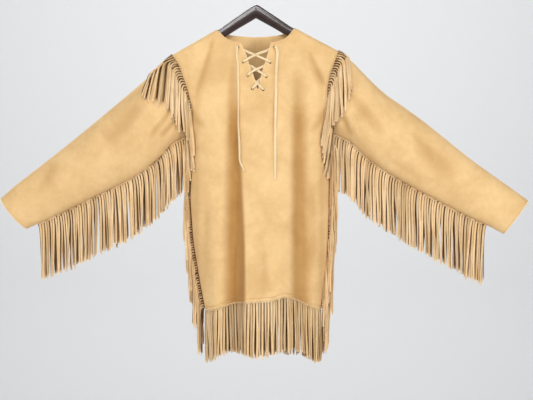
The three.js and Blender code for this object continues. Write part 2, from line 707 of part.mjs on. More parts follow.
// One fringe: its strip, and the strands that hang from it.
function addFringe(name, strip, strands) {
  const solids = strands.map((strand) => toSolid(strand));
  solids.push(toSolid(strip));
  addPiece(name, fromSolid(wasm.Manifold.union(solids)), FRINGE);
}

function hemFringe(name, face, grid, seed) {
  const lowest = grid.outer.length - 1;
  const outer = grid.outer[lowest];
  const inner = grid.inner[lowest];
  const shifted = (point, drop) => point.clone().add(new THREE.Vector3(0, 0, -drop));
  const strip = loftGeometry(
    outer.map((point, i) => [
      shifted(point, SEAM),
      shifted(point, SEAM + STRIP_DEPTH),
      shifted(inner[i], SEAM + STRIP_DEPTH),
      shifted(inner[i], SEAM),
    ]),
  );
  const middle = outer.map((point, i) => point.clone().lerp(inner[i], 0.5));
  const line = new THREE.CatmullRomCurve3(middle, false, 'centripetal');
  const strands = [];
  for (let i = 0; i < HEM_FRINGE.count; i += 1) {
    const part = (i + 0.5) / HEM_FRINGE.count;
    const root = line.getPointAt(part);
    const across = line.getTangentAt(part);
    across.z = 0;
    const length = HEM_FRINGE.length + 7 * uneven(i, seed);
    const swayX = 1.6 * uneven(i, seed + 1);
    const swayY = 2.2 * uneven(i, seed + 2);
    const at = (drop, x, y) => new THREE.Vector3(root.x + x, root.y + y, root.z - drop);
    const path = [at(SEAM + 3, 0, 0), at(length * 0.45, swayX, swayY), at(length, -swayX, 0)];
    strands.push(strandGeometry(path, across));
  }
  addFringe(name, strip, strands);
}

// Point on the underside of a sleeve, index counting its sections.
function undersidePoint(grid, index) {
  const bottom = ARMHOLE_ROWS.length - 1;
  const row = Math.floor(Math.min(index, grid.outer.length - 1.001));
  return grid.outer[row][bottom].clone().lerp(grid.outer[row + 1][bottom], index - row);
}

function sleeveFringe(name, grid, seed) {
  const { count, first, last, length } = SLEEVE_FRINGE;
  const rings = [];
  const stops = [first];
  for (let i = Math.ceil(first); i <= last; i += 1) {
    stops.push(i);
  }
  stops.push(last);
  for (const stop of stops) {
    const point = undersidePoint(grid, stop);
    const along = undersidePoint(grid, stop + 0.4).sub(undersidePoint(grid, stop - 0.4)).normalize();
    const down = new THREE.Vector3(along.z, 0, -along.x).normalize();
    if (down.z > 0) {
      down.negate();
    }
    const corner = (drop, y) => point.clone().addScaledVector(down, drop).add(new THREE.Vector3(0, y, 0));
    rings.push([
      corner(SEAM + 0.2, -SKIN / 2),
      corner(SEAM + STRIP_DEPTH, -SKIN / 2),
      corner(SEAM + STRIP_DEPTH, SKIN / 2),
      corner(SEAM + 0.2, SKIN / 2),
    ]);
  }
  const strands = [];
  for (let i = 0; i < count; i += 1) {
    const index = mix(first, last, (i + 0.5) / count);
    const root = undersidePoint(grid, index);
    const along = undersidePoint(grid, index + 0.3).sub(undersidePoint(grid, index - 0.3));
    const side = Math.sign(root.x);
    const reach = length + 6 * uneven(i, seed);
    const swayX = 1.4 * uneven(i, seed + 1);
    const swayY = 3 * uneven(i, seed + 2);
    const at = (drop, x, y) => new THREE.Vector3(root.x + x, root.y + y, root.z - drop);
    const path = [at(3.4, 0, 0), at(reach * 0.3, side * 3, swayY), at(reach, swayX, swayY * 0.4)];
    strands.push(strandGeometry(path, new THREE.Vector3(along.x, along.y, 0).normalize()));
  }
  addFringe(name, loftGeometry(rings), strands);
}

function sideFringe(name, edge, underarmZ, side, seed) {
  const top = underarmZ - 14;
  const low = edge[edge.length - 1].z + 10;
  const rings = [];
  const steps = 12;
  for (let i = 0; i <= steps; i += 1) {
    const z = mix(top, low, i / steps);
    const x = read(edge, 'z', 'x', z);
    const corner = (out, y) => new THREE.Vector3(x + side * out, y, z);
    rings.push([
      corner(0.9, -SKIN / 2),
      corner(0.9 + STRIP_DEPTH, -SKIN / 2),
      corner(0.9 + STRIP_DEPTH, SKIN / 2),
      corner(0.9, SKIN / 2),
    ]);
  }
  const strands = [];
  for (let i = 0; i < SIDE_FRINGE.count; i += 1) {
    const z = mix(top - 4, low + 4, i / (SIDE_FRINGE.count - 1));
    const x = read(edge, 'z', 'x', z);
    const lane = (((i * 2) % 5) - 2) * 5;
    const length = SIDE_FRINGE.length + 6 * uneven(i, seed);
    const swing = 18 + 1.5 * uneven(i, seed + 1);
    const at = (drop, out, y) => new THREE.Vector3(x + side * out, y, z - drop);
    const path = [
      at(0, 5, 0),
      at(9, swing - 2, lane * 0.8),
      at(length * 0.5, swing + 1, lane),
      at(length, swing, lane),
    ];
    strands.push(strandGeometry(path, new THREE.Vector3(0, 1, 0)));
  }
  addFringe(name, loftGeometry(rings), strands);
}

// Depth of a sleeve's outer face at (x, z), away from its own middle, or null beside it.
function sleeveFaceY(sections, face, x, z) {
  const steps = 10;
  for (let i = 0; i < (sections.length - 1) * steps; i += 1) {
    const row = Math.floor(i / steps);
    const part = (i % steps) / steps;
    const blend = (key) => mix(sections[row][key], sections[row + 1][key], part);
    const topX = blend('topX');
    const topZ = blend('topZ');
    const spanX = topX - blend('lowX');
    const spanZ = topZ - blend('lowZ');
    const aside = ((x - topX) * spanZ - (z - topZ) * spanX) / Math.hypot(spanX, spanZ);
    const share = (topZ - z) / spanZ;
    if (Math.abs(aside) < 4 && share > 0 && share < 1) {
      const height = 1 - 2 * share;
      return blend('y') + face * blend('depth') * Math.sqrt(1 - height * height);
    }
  }
  return null;
}

// Nearest y that is clear of the body and the sleeve at (x, z), seen from one face.
function clearY(sections, face, x, z) {
  const left = read(LEFT_EDGE, 'z', 'x', z);
  const right = read(RIGHT_EDGE, 'z', 'x', z);
  const beside = z > UNDERARM.left ? 30 : 0;
  const onBody = x > left - beside && x < right + beside && z < readStraight(SHOULDER_LINE, x);
  const reach = [0];
  if (onBody) {
    reach.push(bodyDepth(face, x, z));
  }
  const sleeve = sleeveFaceY(sections, face, x, z);
  if (sleeve !== null) {
    reach.push(face * sleeve);
  }
  return face * Math.max(...reach);
}

function armholeFringe(name, sections, loop, grid, seed) {
  const side = Math.sign(sections[0].topX);
  const near = 0.06;
  const far = 0.32;
  const bottom = ARMHOLE_ROWS.length - 1;
  const order = [];
  for (let i = bottom + 2; i < loop.length; i += 1) {
    order.push(i);
  }
  for (let i = 0; i <= bottom - 2; i += 1) {
    order.push(i);
  }
  const centre = new THREE.Vector3(sections[0].topX, 0, (sections[0].topZ + sections[0].lowZ) / 2);
  const rings = order.map((i) => {
    const edge = grid.outer[0][i];
    const next = grid.outer[1][i];
    const base = edge.clone().lerp(next, near);
    const wide = edge.clone().lerp(next, far);
    const out = base.clone().sub(centre).setX(0);
    out.set(0, out.y, out.z * 0.5).normalize();
    return [
      base.clone().addScaledVector(out, 0.7),
      wide.clone().addScaledVector(out, 0.7),
      wide.clone().addScaledVector(out, 0.7 + SKIN),
      base.clone().addScaledVector(out, 0.7 + SKIN),
    ];
  });
  const middle = rings.map((ring) => ring[0].clone().add(ring[1]).add(ring[2]).add(ring[3]).divideScalar(4));
  const line = new THREE.CatmullRomCurve3(middle, false, 'centripetal');
  const drops = [0.14, 0.32, 0.62, 1];
  const strands = [];
  for (let i = 0; i < ARMHOLE_FRINGE.count; i += 1) {
    const part = (i + 0.5) / ARMHOLE_FRINGE.count;
    const root = line.getPointAt(part);
    const face = part < 0.47 ? BACK : FRONT;
    const lane = 9 + 3.2 * ((i * 3) % 7);
    const length = ARMHOLE_FRINGE.length + 8 * uneven(i, seed);
    const nearTop = ease((root.z - sections[0].topZ + 60) / 50);
    const sweep = side * (5 + 5 * uneven(i, seed + 1) + 50 * nearTop);
    const lift = new THREE.Vector3(sweep * 0.12, face * (5 + 4 * nearTop), 4 * nearTop - 2);
    const path = [root, root.clone().add(lift)];
    let reach = path[1].y;
    for (const drop of drops) {
      const x = root.x + sweep * drop ** 0.6;
      const z = root.z - length * (1 - 0.25 * nearTop) * drop;
      const clear = clearY(sections, face, x, z) + face * mix(6, lane, ease(drop / 0.3));
      reach = face * Math.max(face * reach, face * clear);
      path.push(new THREE.Vector3(x, reach, z));
    }
    strands.push(strandGeometry(path, new THREE.Vector3(1, 0, 0)));
  }
  addFringe(name, loftGeometry(rings), strands);
}

sleeveFringe('fringe_sleeve_left', leftSleeve, 3);
sleeveFringe('fringe_sleeve_right', rightSleeve, 7);
armholeFringe('fringe_armhole_left', LEFT_SLEEVE, leftLoop, leftSleeve, 11);
armholeFringe('fringe_armhole_right', RIGHT_SLEEVE, rightLoop, rightSleeve, 13);
sideFringe('fringe_side_left', LEFT_EDGE, UNDERARM.left, -1, 17);
sideFringe('fringe_side_right', RIGHT_EDGE, UNDERARM.right, 1, 19);
hemFringe('fringe_hem_front', FRONT, frontGrid, 23);
hemFringe('fringe_hem_back', BACK, backGrid, 29);

// ---------------------------------------------------------------- eyelets and lace

for (const eyelet of EYELETS) {
  const profile = [
    new THREE.Vector2(EYELET.bore, -SKIN),
    new THREE.Vector2(EYELET.barrel, -SKIN),
    new THREE.Vector2(EYELET.barrel, SEAM),
    new THREE.Vector2(EYELET.flange, SEAM),
    new THREE.Vector2(EYELET.flange, SEAM + EYELET.plate),
    new THREE.Vector2(EYELET.bore, SEAM + EYELET.plate),
    new THREE.Vector2(EYELET.bore, -SKIN),
  ];
  const ring = new THREE.LatheGeometry(profile, EYELET.sides);
  ring.rotateX(Math.PI / 2);
  addPiece(eyelet.name, placeOnFront(ring, eyelet.x, eyelet.z), EYELET_METAL);
}

// Round section with a few sides, for a cord that follows a path.
function roundSection(radius, sides) {
  const section = new THREE.Shape();
  for (let i = 0; i < sides; i += 1) {
    const turn = (i / sides) * Math.PI * 2;
    const x = radius * Math.cos(turn);
    const y = radius * Math.sin(turn);
    if (i === 0) {
      section.moveTo(x, y);
    } else {
      section.lineTo(x, y);
    }
  }
  section.closePath();
  return section;
}

function cordGeometry(points, radius, sides, steps) {
  const path = new THREE.CatmullRomCurve3(points, false, 'centripetal');
  return new THREE.ExtrudeGeometry(roundSection(radius, sides), {
    extrudePath: path,
    steps,
    bevelEnabled: false,
  });
}

function lacePoints() {
  const points = [];
  for (const stop of LACE) {
    if (stop.eyelet === undefined) {
      points.push(bodyPoint(FRONT, stop.x, stop.z, stop.out));
    } else {
      const eyelet = EYELETS.find((item) => item.name === stop.eyelet);
      for (const share of [0, 0.5, 1]) {
        points.push(bodyPoint(FRONT, eyelet.x, eyelet.z, mix(stop.from, stop.to, share)));
      }
    }
  }
  return points;
}

addPiece('lace_crossing', cordGeometry(lacePoints(), LACE_RADIUS, 5, 100), THONG);

// Path of a loose end: its first rows as they are, then even steps down the front.
function tailPoints(rows) {
  const bent = rows.slice(0, 5);
  const from = rows[4].z;
  const to = rows[rows.length - 1].z;
  const steps = 12;
  for (let i = 1; i <= steps; i += 1) {
    const z = mix(from, to, i / steps);
    bent.push({ x: read(rows, 'z', 'x', z), z, out: read(rows, 'z', 'out', z) });
  }
  return bent.map((row) => bodyPoint(FRONT, row.x, row.z, row.out));
}

addPiece('lace_tail_left', cordGeometry(tailPoints(LEFT_TAIL), TAIL_RADIUS, 8, 20), THONG);
addPiece('lace_tail_right', cordGeometry(tailPoints(RIGHT_TAIL), TAIL_RADIUS, 8, 20), THONG);

// ---------------------------------------------------------------- hanger and pin

const hangerRings = HANGER_SECTIONS.map((section) => {
  const ring = [];
  for (let i = 0; i < HANGER.sides; i += 1) {
    const turn = (i / HANGER.sides) * Math.PI * 2;
    const share = 0.5 + Math.cos(turn) / 2;
    ring.push(
      new THREE.Vector3(
        mix(section.lowX, section.topX, share),
        (section.thick / 2) * Math.sin(turn),
        mix(section.lowZ, section.topZ, share),
      ),
    );
  }
  return ring;
});
addPiece('hanger', loftGeometry(hangerRings), DARK_WOOD);

const pin = new THREE.CylinderGeometry(PIN.radius, PIN.radius, PIN.length, 16);
pin.translate(0, HANGER.thick / 2 + SEAM + PIN.length / 2, 0);
pin.rotateX(Math.PI);
addPiece('hanger_pin', pin, PIN_METAL);

export default group;
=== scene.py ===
"""Fringed buckskin pull-over shirt on a plain hookless hanger, dressed over its packed frame."""

import math

import bmesh
import bpy
import numpy as np
from bpy.props import FloatProperty, FloatVectorProperty, IntProperty, PointerProperty
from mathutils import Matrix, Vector
from mathutils.kdtree import KDTree


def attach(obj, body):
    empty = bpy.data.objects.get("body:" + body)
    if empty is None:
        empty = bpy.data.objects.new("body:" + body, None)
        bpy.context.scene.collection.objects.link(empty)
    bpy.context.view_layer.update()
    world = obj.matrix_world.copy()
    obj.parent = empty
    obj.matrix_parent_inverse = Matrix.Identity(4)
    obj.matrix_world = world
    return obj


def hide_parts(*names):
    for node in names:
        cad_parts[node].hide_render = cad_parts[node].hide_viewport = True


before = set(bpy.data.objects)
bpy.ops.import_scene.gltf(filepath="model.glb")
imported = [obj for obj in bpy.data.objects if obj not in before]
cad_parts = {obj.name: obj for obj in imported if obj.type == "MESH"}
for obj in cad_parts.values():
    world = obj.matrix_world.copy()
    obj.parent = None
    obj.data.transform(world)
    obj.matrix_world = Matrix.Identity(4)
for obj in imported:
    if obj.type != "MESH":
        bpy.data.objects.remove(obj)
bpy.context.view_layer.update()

bl_info = {
    "name": "Fringed Buckskin Shirt",
    "version": (1, 0, 0),
    "blender": (4, 5, 0),
    "location": "View3D > Sidebar > Shirt",
    "description": "Builds a fringed buckskin shirt on its hanger, piece by piece",
    "category": "Add Mesh",
}

MM = 0.001
FRONT, BACK = -1, 1

# Half the gap between two panels along their seam.
SEAM_DEPTH = 0.15
# How far the lines of stitches lie from the skin's edges.
NECK_SEAM, HEM_SEAM, ARMHOLE_SEAM = 5.4, 8, 3.4

# ---- cutting tables, millimetres

# Sides of the body, from the shoulder tip down to the hem: z, x.
LEFT_EDGE = (
    (-123.9, -225.7), (-154.0, -206.5), (-185.7, -194.3), (-216.2, -182.7), (-237.0, -177.0),
    (-272.0, -170.0), (-312.0, -173.0), (-343.0, -182.0), (-402.0, -173.0), (-505.0, -177.0),
    (-575.0, -173.0), (-632.0, -168.0), (-688.0, -159.0), (-753.0, -148.0), (-811.0, -137.0),
)
RIGHT_EDGE = (
    (-113.4, 222.2), (-159.3, 205.5), (-191.1, 194.8), (-224.8, 189.5), (-250.5, 192.0),
    (-301.5, 197.5), (-337.5, 207.9), (-394.0, 199.5), (-494.0, 198.2), (-570.0, 196.3),
    (-664.0, 192.5), (-721.0, 187.0), (-777.0, 179.0), (-810.0, 175.0),
)
UNDERARM = {"left": -343.0, "right": -337.5}

# Shoulder seams with the hanger's slope between them, necklines and hems: x, z.
SHOULDER_LINE = ((-225.7, -123.9), (-105.6, -55.6), (0.0, 18.0), (104.5, -50.8), (222.2, -113.4))
NECK = (-105.6, 104.5)
NECKLINES = {
    FRONT: (
        (-105.6, -55.6), (-82.6, -77.8), (-61.4, -89.6), (-39.9, -93.8), (0.0, -95.0),
        (39.9, -93.2), (61.6, -88.8), (83.2, -76.5), (104.5, -50.8),
    ),
    BACK: (
        (-105.6, -55.6), (-74.1, -67.9), (-38.4, -71.7), (0.0, -73.4), (37.9, -71.7),
        (71.4, -66.5), (104.5, -50.8),
    ),
}
HEMS = {
    FRONT: (
        (-137.0, -811.0), (-109.0, -807.0), (-86.0, -797.5), (-53.0, -788.2), (-15.0, -786.0),
        (44.6, -781.0), (70.0, -773.0), (92.0, -774.0), (115.0, -783.0), (141.7, -796.5),
        (175.0, -810.0),
    ),
    BACK: (
        (-137.0, -811.0), (-95.0, -803.0), (-40.0, -792.0), (20.0, -788.0), (75.0, -790.0),
        (130.0, -802.0), (175.0, -810.0),
    ),
}

# Hanging folds: x0, z0, x1, z1, half widths at both ends, heights at both ends.
# A negative height is a trough. The last number narrows the fold's right side.
FOLDS = {
    FRONT: (
        (-52, -180, -50, -700, 16, 27, 0, -27, 0.55),
        (-30, -470, -27, -820, 9, 11, 0, 6, 1.0),
        (108, -110, 119, -700, 17, 25, -2, -20, 1.0),
        (36, -420, 32, -820, 34, 30, 0, 7, 1.0),
        (-98, -480, -108, -820, 22, 20, 0, 6, 1.0),
        (-112, -80, -168, -290, 9, 13, -3, -4, 1.0),
        (138, -112, 180, -230, 9, 12, -3, -4, 1.0),
        (-63, -120, -65, -420, 13, 15, -2, -4, 1.0),
    ),
    BACK: (
        (62, -230, 72, -820, 18, 26, 0, -21, 0.7),
        (-84, -180, -88, -820, 17, 24, -1, -17, 1.0),
        (-12, -400, -6, -820, 30, 32, 0, 7, 1.0),
        (122, -470, 128, -820, 20, 20, 0, 5, 1.0),
        (116, -84, 172, -270, 10, 13, -3, -4, 1.0),
    ),
}

# Painted shade inside the troughs, a deeper tone where their shadow falls: centre x0, z0, x1, z1,
# half widths at both ends, strength, then the softness of the left and the right side.
TROUGH_PAINTED_SHADE = {
    FRONT: (
        (-60, -150, -54, -640, 8, 25, 1.0, 34, 11),
        (112, -110, 119, -640, 12, 22, 0.85, 22, 36),
        (-112, -80, -160, -270, 3, 5, 0.35, 22, 22),
        (138, -112, 176, -220, 3, 5, 0.35, 22, 22),
    ),
    BACK: (
        (62, -190, 70, -640, 8, 24, 0.95, 30, 14),
        (-84, -150, -88, -640, 9, 20, 0.85, 24, 34),
        (116, -84, 166, -250, 3, 5, 0.35, 22, 22),
    ),
}

# Sleeve sections: top x, top z, underside x, underside z, centre y, half depth.
SLEEVES = {
    "left": (
        (-225.7, -123.9, -182.0, -343.0, 0, 44), (-243.0, -141.0, -205.0, -350.5, 5, 46),
        (-266.0, -163.0, -232.0, -367.0, 10, 48), (-302.0, -192.0, -262.0, -399.0, 18, 50),
        (-346.0, -228.0, -302.0, -432.0, 28, 49), (-400.0, -271.5, -352.0, -462.0, 41, 47),
        (-456.0, -316.0, -405.0, -487.5, 54, 44), (-512.0, -359.5, -460.0, -514.0, 68, 40),
        (-566.0, -400.5, -513.0, -539.5, 81, 36), (-617.0, -438.5, -560.0, -561.0, 92, 32),
        (-663.0, -473.0, -600.0, -579.0, 101, 28), (-707.0, -510.0, -633.8, -594.5, 108, 24),
    ),
    "right": (
        (222.2, -113.4, 207.9, -337.5, 0, 44), (241.0, -128.0, 230.0, -345.5, 0, 46),
        (266.0, -149.0, 256.0, -358.5, 0, 48), (304.0, -188.0, 283.0, -385.0, 0, 50),
        (349.0, -230.0, 318.0, -415.0, 0, 49), (400.0, -265.5, 362.0, -445.0, 0, 47),
        (456.0, -306.5, 412.0, -474.5, 0, 44), (516.0, -354.5, 464.0, -502.5, 0, 40),
        (578.0, -404.5, 520.0, -532.0, 0, 36), (636.0, -446.5, 576.0, -561.0, 0, 32),
        (694.0, -487.8, 628.0, -586.0, 0, 28), (734.9, -517.6, 668.3, -607.2, 0, 24),
    ),
}

# Slit below the neckline: z, left edge, right edge.
SLIT = (
    (-60, -45, 45), (-94, -40, 40), (-124, -27, 31.5), (-150, -18.5, 24), (-177, -8.5, 15.5),
    (-196, -2.5, 11.5), (-206, -0.5, 9.5), (-214, 2, 7.5), (-221, 4.5, 5.5),
)
EYELETS = {
    "eyelet_left_1": (-47.6, -106.2), "eyelet_left_2": (-33.7, -147.6),
    "eyelet_left_3": (-21.4, -184.5), "eyelet_left_4": (-9.3, -220.3),
    "eyelet_right_1": (50.0, -105.4), "eyelet_right_2": (38.5, -148.4),
    "eyelet_right_3": (27.8, -187.5), "eyelet_right_4": (19.5, -222.7),
}

# The laced stretch: either x, z and height over the skin, or an eyelet with two heights.
LACE = (
    ("eyelet_left_1", 2.4, -4.2), (-38, -110.5, -4.4), (-27, -116, -4.2), (1, -129, -0.9),
    (24, -140, 2.0), (32, -144, 3.2), ("eyelet_right_2", 3.2, -4.2), (29, -153, -4.4),
    (20, -158, -3.4), (12, -162, -0.6), (3, -167, 2.4), (-8, -173, 3.4), (-16, -178.5, 3.2),
    ("eyelet_left_3", 3.2, -4.2), (-16, -189, -4.4), (-7, -196, -3.6), (2, -203.5, 2.0),
    (13, -215.5, 3.0),
    ("eyelet_right_4", 3.2, -4.2), (12, -223, -4.4), (-2, -222, -4.4),
    ("eyelet_left_4", -4.2, 3.2), (-4, -214, 4.6), (4, -205, 5.2), (5.6, -199.5, 1.0),
    (8, -196, -3.8), (13, -192.5, -4.7), (21, -189.5, -4.4), ("eyelet_right_3", -4.2, 3.2),
    (21, -183, 3.0), (14, -177, 1.6), (1, -167.5, -1.6), (-13, -158, -3.8), (-25, -151, -4.6),
    ("eyelet_left_2", -4.2, 3.2), (-26, -142, 3.0), (0, -128, 3.0), (22, -117.5, -3.0),
    (40, -109, -4.6), ("eyelet_right_1", -4.2, 2.4),
)

# Loose ends of the lace: x, z, height over the skin.
TAILS = {
    "left": (
        (-47.6, -106.2, 2.8), (-47.6, -106.2, 4.4), (-48.4, -108.4, 6.6), (-49.6, -114.0, 6.2),
        (-50.5, -126.0, 3.2), (-47.2, -153.0, 2.7), (-46.0, -226.0, 2.7), (-45.2, -308.0, 2.7),
        (-42.4, -362.0, 2.7), (-39.9, -420.0, 2.7), (-36.0, -433.0, 3.4), (-29.0, -438.5, 4.4),
    ),
    "right": (
        (50.0, -105.4, 2.8), (50.0, -105.4, 4.4), (51.6, -107.6, 6.6), (55.0, -113.0, 6.2),
        (57.2, -126.0, 3.2), (54.0, -172.0, 2.7), (52.6, -280.0, 2.7), (51.2, -389.0, 2.7),
        (50.7, -462.5, 2.9),
    ),
}

# Sections of the hanger: top x, top z, low x, low z, thickness.
HANGER = (
    (-200.0, -117.0, -198.0, -123.0, 7), (-196.0, -110.8, -191.0, -128.0, 15),
    (-188.0, -105.8, -179.0, -127.0, 20), (-110.0, -61.4, -98.0, -84.0, 20),
    (-92.0, -51.0, -76.5, -71.6, 20), (-60.0, -27.6, -44.0, -51.0, 20),
    (0.0, 14.3, 0.0, -25.4, 20), (60.0, -25.4, 44.0, -49.4, 20), (92.0, -47.2, 77.5, -69.0, 20),
    (110.0, -56.8, 99.0, -79.5, 20), (188.0, -98.6, 180.0, -120.0, 20),
    (196.0, -103.4, 191.5, -120.6, 15), (200.0, -109.6, 198.4, -115.6, 7),
)

# Small creases on each face of the body: points x, z, then half width and height.
BODY_CREASES = {
    FRONT: (
        (((-112, -66), (-122, -110), (-140, -170), (-170, -268)), 7, -2.4),
        (((-100, -84), (-108, -140), (-128, -220), (-150, -300)), 15, 1.6),
        (((-62, -118), (-67, -240), (-65, -400)), 9, -1.8),
        (((48, -118), (46, -240), (44, -400)), 8, -1.2),
        (((140, -112), (163, -160), (187, -214)), 7, -2.2),
        (((160, -158), (172, -186), (188, -218)), 6, -1.8),
        (((-176, -262), (-160, -300), (-132, -330)), 9, -2.0),
        (((190, -262), (172, -304), (146, -336)), 9, -2.2),
        (((-178, -350), (-150, -372), (-112, -384)), 10, 1.6),
        (((200, -350), (168, -384), (140, -400)), 10, 1.8),
        (((-20, -236), (2, -290), (8, -360)), 14, 1.3),
        (((84, -250), (92, -360), (90, -470)), 12, 1.5),
        (((-128, -520), (-134, -620), (-128, -740)), 14, -1.8),
        (((150, -470), (156, -600), (150, -730)), 12, -2.0),
        (((18, -640), (24, -700), (20, -775)), 12, -1.4),
        (((60, -560), (66, -660), (58, -760)), 13, 1.5),
        (((-26, -560), (-27, -680), (-26, -780)), 5, 2.2),
    ),
    BACK: (
        (((112, -66), (126, -120), (150, -200), (176, -290)), 8, -2.4),
        (((-112, -66), (-130, -120), (-150, -200), (-172, -280)), 8, -2.2),
        (((-60, -100), (0, -112), (60, -100)), 12, -1.6),
        (((-176, -262), (-150, -300), (-118, -322)), 9, -2.0),
        (((190, -262), (160, -304), (128, -330)), 9, -2.0),
        (((-30, -250), (-26, -400), (-32, -560)), 16, 1.6),
        (((20, -300), (26, -440), (18, -600)), 13, -1.6),
        (((-140, -500), (-134, -620), (-138, -760)), 13, -2.0),
        (((150, -480), (146, -620), (150, -740)), 12, -1.8),
    ),
}

# Creases on each face of the sleeves, the same way.
SLEEVE_CREASES = {
    ("left", FRONT): (
        (((-222, -262), (-246, -300), (-290, -352)), 8, -3.0),
        (((-214, -300), (-240, -330), (-262, -352)), 7, -3.4),
        (((-236, -232), (-272, -286), (-330, -340)), 16, 2.2),
        (((-300, -250), (-360, -320), (-430, -370)), 22, -2.4),
        (((-420, -330), (-480, -400), (-520, -430)), 22, 2.0),
        (((-540, -400), (-580, -470), (-600, -520)), 16, -2.0),
        (((-330, -400), (-400, -430), (-470, -470)), 12, 1.8),
    ),
    ("right", FRONT): (
        (((222, -272), (240, -308), (262, -352)), 8, -3.6),
        (((232, -262), (258, -318), (286, -372)), 7, 2.4),
        (((246, -224), (300, -290), (352, -350)), 18, -2.4),
        (((300, -250), (380, -330), (440, -372)), 20, 2.0),
        (((410, -330), (470, -400), (540, -450)), 22, -2.2),
        (((540, -420), (590, -480), (630, -540)), 18, 1.8),
        (((350, -400), (410, -436), (470, -476)), 12, -1.6),
    ),
    ("left", BACK): (
        (((-214, -282), (-250, -320), (-292, -362)), 8, -3.2),
        (((-250, -230), (-320, -310), (-400, -370)), 20, -2.2),
        (((-440, -350), (-500, -420), (-540, -450)), 20, 2.0),
    ),
    ("right", BACK): (
        (((224, -280), (256, -322), (290, -366)), 8, -3.2),
        (((260, -230), (330, -310), (410, -370)), 20, -2.2),
        (((450, -360), (520, -430), (570, -470)), 20, 2.0),
    ),
}

# ---- tables, curves and vectors


def ease(value):
    """Smooth step from 0 to 1."""
    t = np.clip(value, 0, 1)
    return t * t * (3 - 2 * t)


def curve(rows, at, key=0, value=1):
    """Smooth reading of one column of a table at values of another."""
    pairs = np.array([(row[key], row[value]) for row in rows], float)
    if pairs[-1, 0] < pairs[0, 0]:
        pairs = pairs[::-1]
    keys, values = pairs.T
    at = np.clip(np.asarray(at, float), keys[0], keys[-1])
    i = np.clip(np.searchsorted(keys, at) - 1, 0, len(keys) - 2)
    before, after = np.maximum(i - 1, 0), np.minimum(i + 2, len(keys) - 1)
    span = keys[i + 1] - keys[i]
    leave = (values[i + 1] - values[before]) / (keys[i + 1] - keys[before])
    arrive = (values[after] - values[i]) / (keys[after] - keys[i])
    t = (at - keys[i]) / span
    line = (2 * t**3 - 3 * t**2 + 1) * values[i] + (3 * t**2 - 2 * t**3) * values[i + 1]
    return line + span * ((t**3 - 2 * t**2 + t) * leave + (t**3 - t**2) * arrive)


def straight(rows, at):
    """Reading of a table of pairs along straight lines."""
    keys, values = np.array(rows, float).T
    return np.interp(at, keys, values)


def unit(vectors):
    """The vectors at length one."""
    length = np.linalg.norm(vectors, axis=-1, keepdims=True)
    return vectors / np.maximum(length, 1e-12)


def reach_along(points):
    """Length of a line of points from its start up to each of them."""
    return np.concatenate([[0], np.cumsum(np.linalg.norm(np.diff(points, axis=0), axis=1))])


def spot(at, reach, rows):
    """The row that lies at one reach of a line, or the columns at several."""
    return np.array([np.interp(at, reach, rows[:, k]) for k in range(3)])


# ---- form of the skin, millimetres


# Radius of the skin over the hanger, depth of each face of the body, how much deeper
# the hem flares, and how far an armhole stands open.
SHOULDER_RADIUS = 14
SWELL = {FRONT: 46, BACK: 42}
HEM_FLARE = 8
ARMHOLE_DEPTH = 31


def shoulder_round(drop):
    """Quarter round of the skin over the hanger."""
    return SHOULDER_RADIUS * np.sqrt(1 - (1 - np.clip(drop / SHOULDER_RADIUS, 0, 1)) ** 2)


def hanging_folds(face, x, z):
    """Height of the folds that hang from the shoulders, and depth of their troughs."""
    rise = np.zeros_like(x)
    for x0, z0, x1, z1, width0, width1, rise0, rise1, right in FOLDS[face]:
        part = (z0 - z) / (z0 - z1)
        inside = ease(np.clip(part, 0, 1) * 4) * ease((1.6 - part) * 4)
        along = np.clip(part, 0, 1)
        aside = x - (x0 + (x1 - x0) * along)
        width = (width0 + (width1 - width0) * along) * np.where(aside > 0, right, 2 - right)
        rise += inside * (rise0 + (rise1 - rise0) * along) * np.exp(-((aside / width) ** 2))
    return rise


def fold_painted_shade(face, x, z):
    """How deep the painted shade is in the hanging troughs, from 0 to 1."""
    tone = np.zeros_like(x)
    for x0, z0, x1, z1, wide0, wide1, deep, soft_left, soft_right in TROUGH_PAINTED_SHADE[face]:
        part = (z0 - z) / (z0 - z1)
        along = np.clip(part, 0, 1)
        aside = x - (x0 + (x1 - x0) * along)
        half = wide0 + (wide1 - wide0) * along
        inside = ease(part * 2.2 + 0.05)
        left = ease((aside + half + soft_left / 2) / soft_left)
        right = ease((half + soft_right / 2 - aside) / soft_right)
        tone = np.maximum(tone, inside * deep * left * right)
    return tone


def creases(rows, x, z):
    """Height of soft creases along lines of points, faded at both ends."""
    rise = np.zeros_like(x)
    for line, width, height in rows:
        points = np.array(line, float)
        steps = np.hypot(*np.diff(points, axis=0).T)
        total = steps.sum()
        nearest = np.full_like(x, 1e9)
        share = np.zeros_like(x)
        passed = 0.0
        for a, b, step in zip(points[:-1], points[1:], steps):
            t = np.clip(((x - a[0]) * (b[0] - a[0]) + (z - a[1]) * (b[1] - a[1])) / step**2, 0, 1)
            gap = np.hypot(x - a[0] - t * (b[0] - a[0]), z - a[1] - t * (b[1] - a[1]))
            share = np.where(gap < nearest, (passed + t * step) / total, share)
            nearest = np.minimum(gap, nearest)
            passed += step
        spread = width * (0.7 + 0.6 * share)
        fade = ease(share * 4 + 0.15) * ease((1 - share) * 3 + 0.1)
        rise += height * fade * np.exp(-((nearest / spread) ** 2))
    return rise


def hand_waves(x, z, seed, tall=2.2):
    """Slow unevenness of a supple skin, about a millimetre high."""
    rng = np.random.default_rng(seed)
    rise = np.zeros_like(x)
    for _ in range(9):
        length = rng.uniform(46, 150)
        lean = rng.uniform(-0.7, 0.7)
        phase = rng.uniform(0, 2 * math.pi)
        rise += (length / 150) * np.sin(
            2 * math.pi * (x * math.cos(lean) + z * math.sin(lean) / tall) / length + phase
        )
    return 0.34 * rise


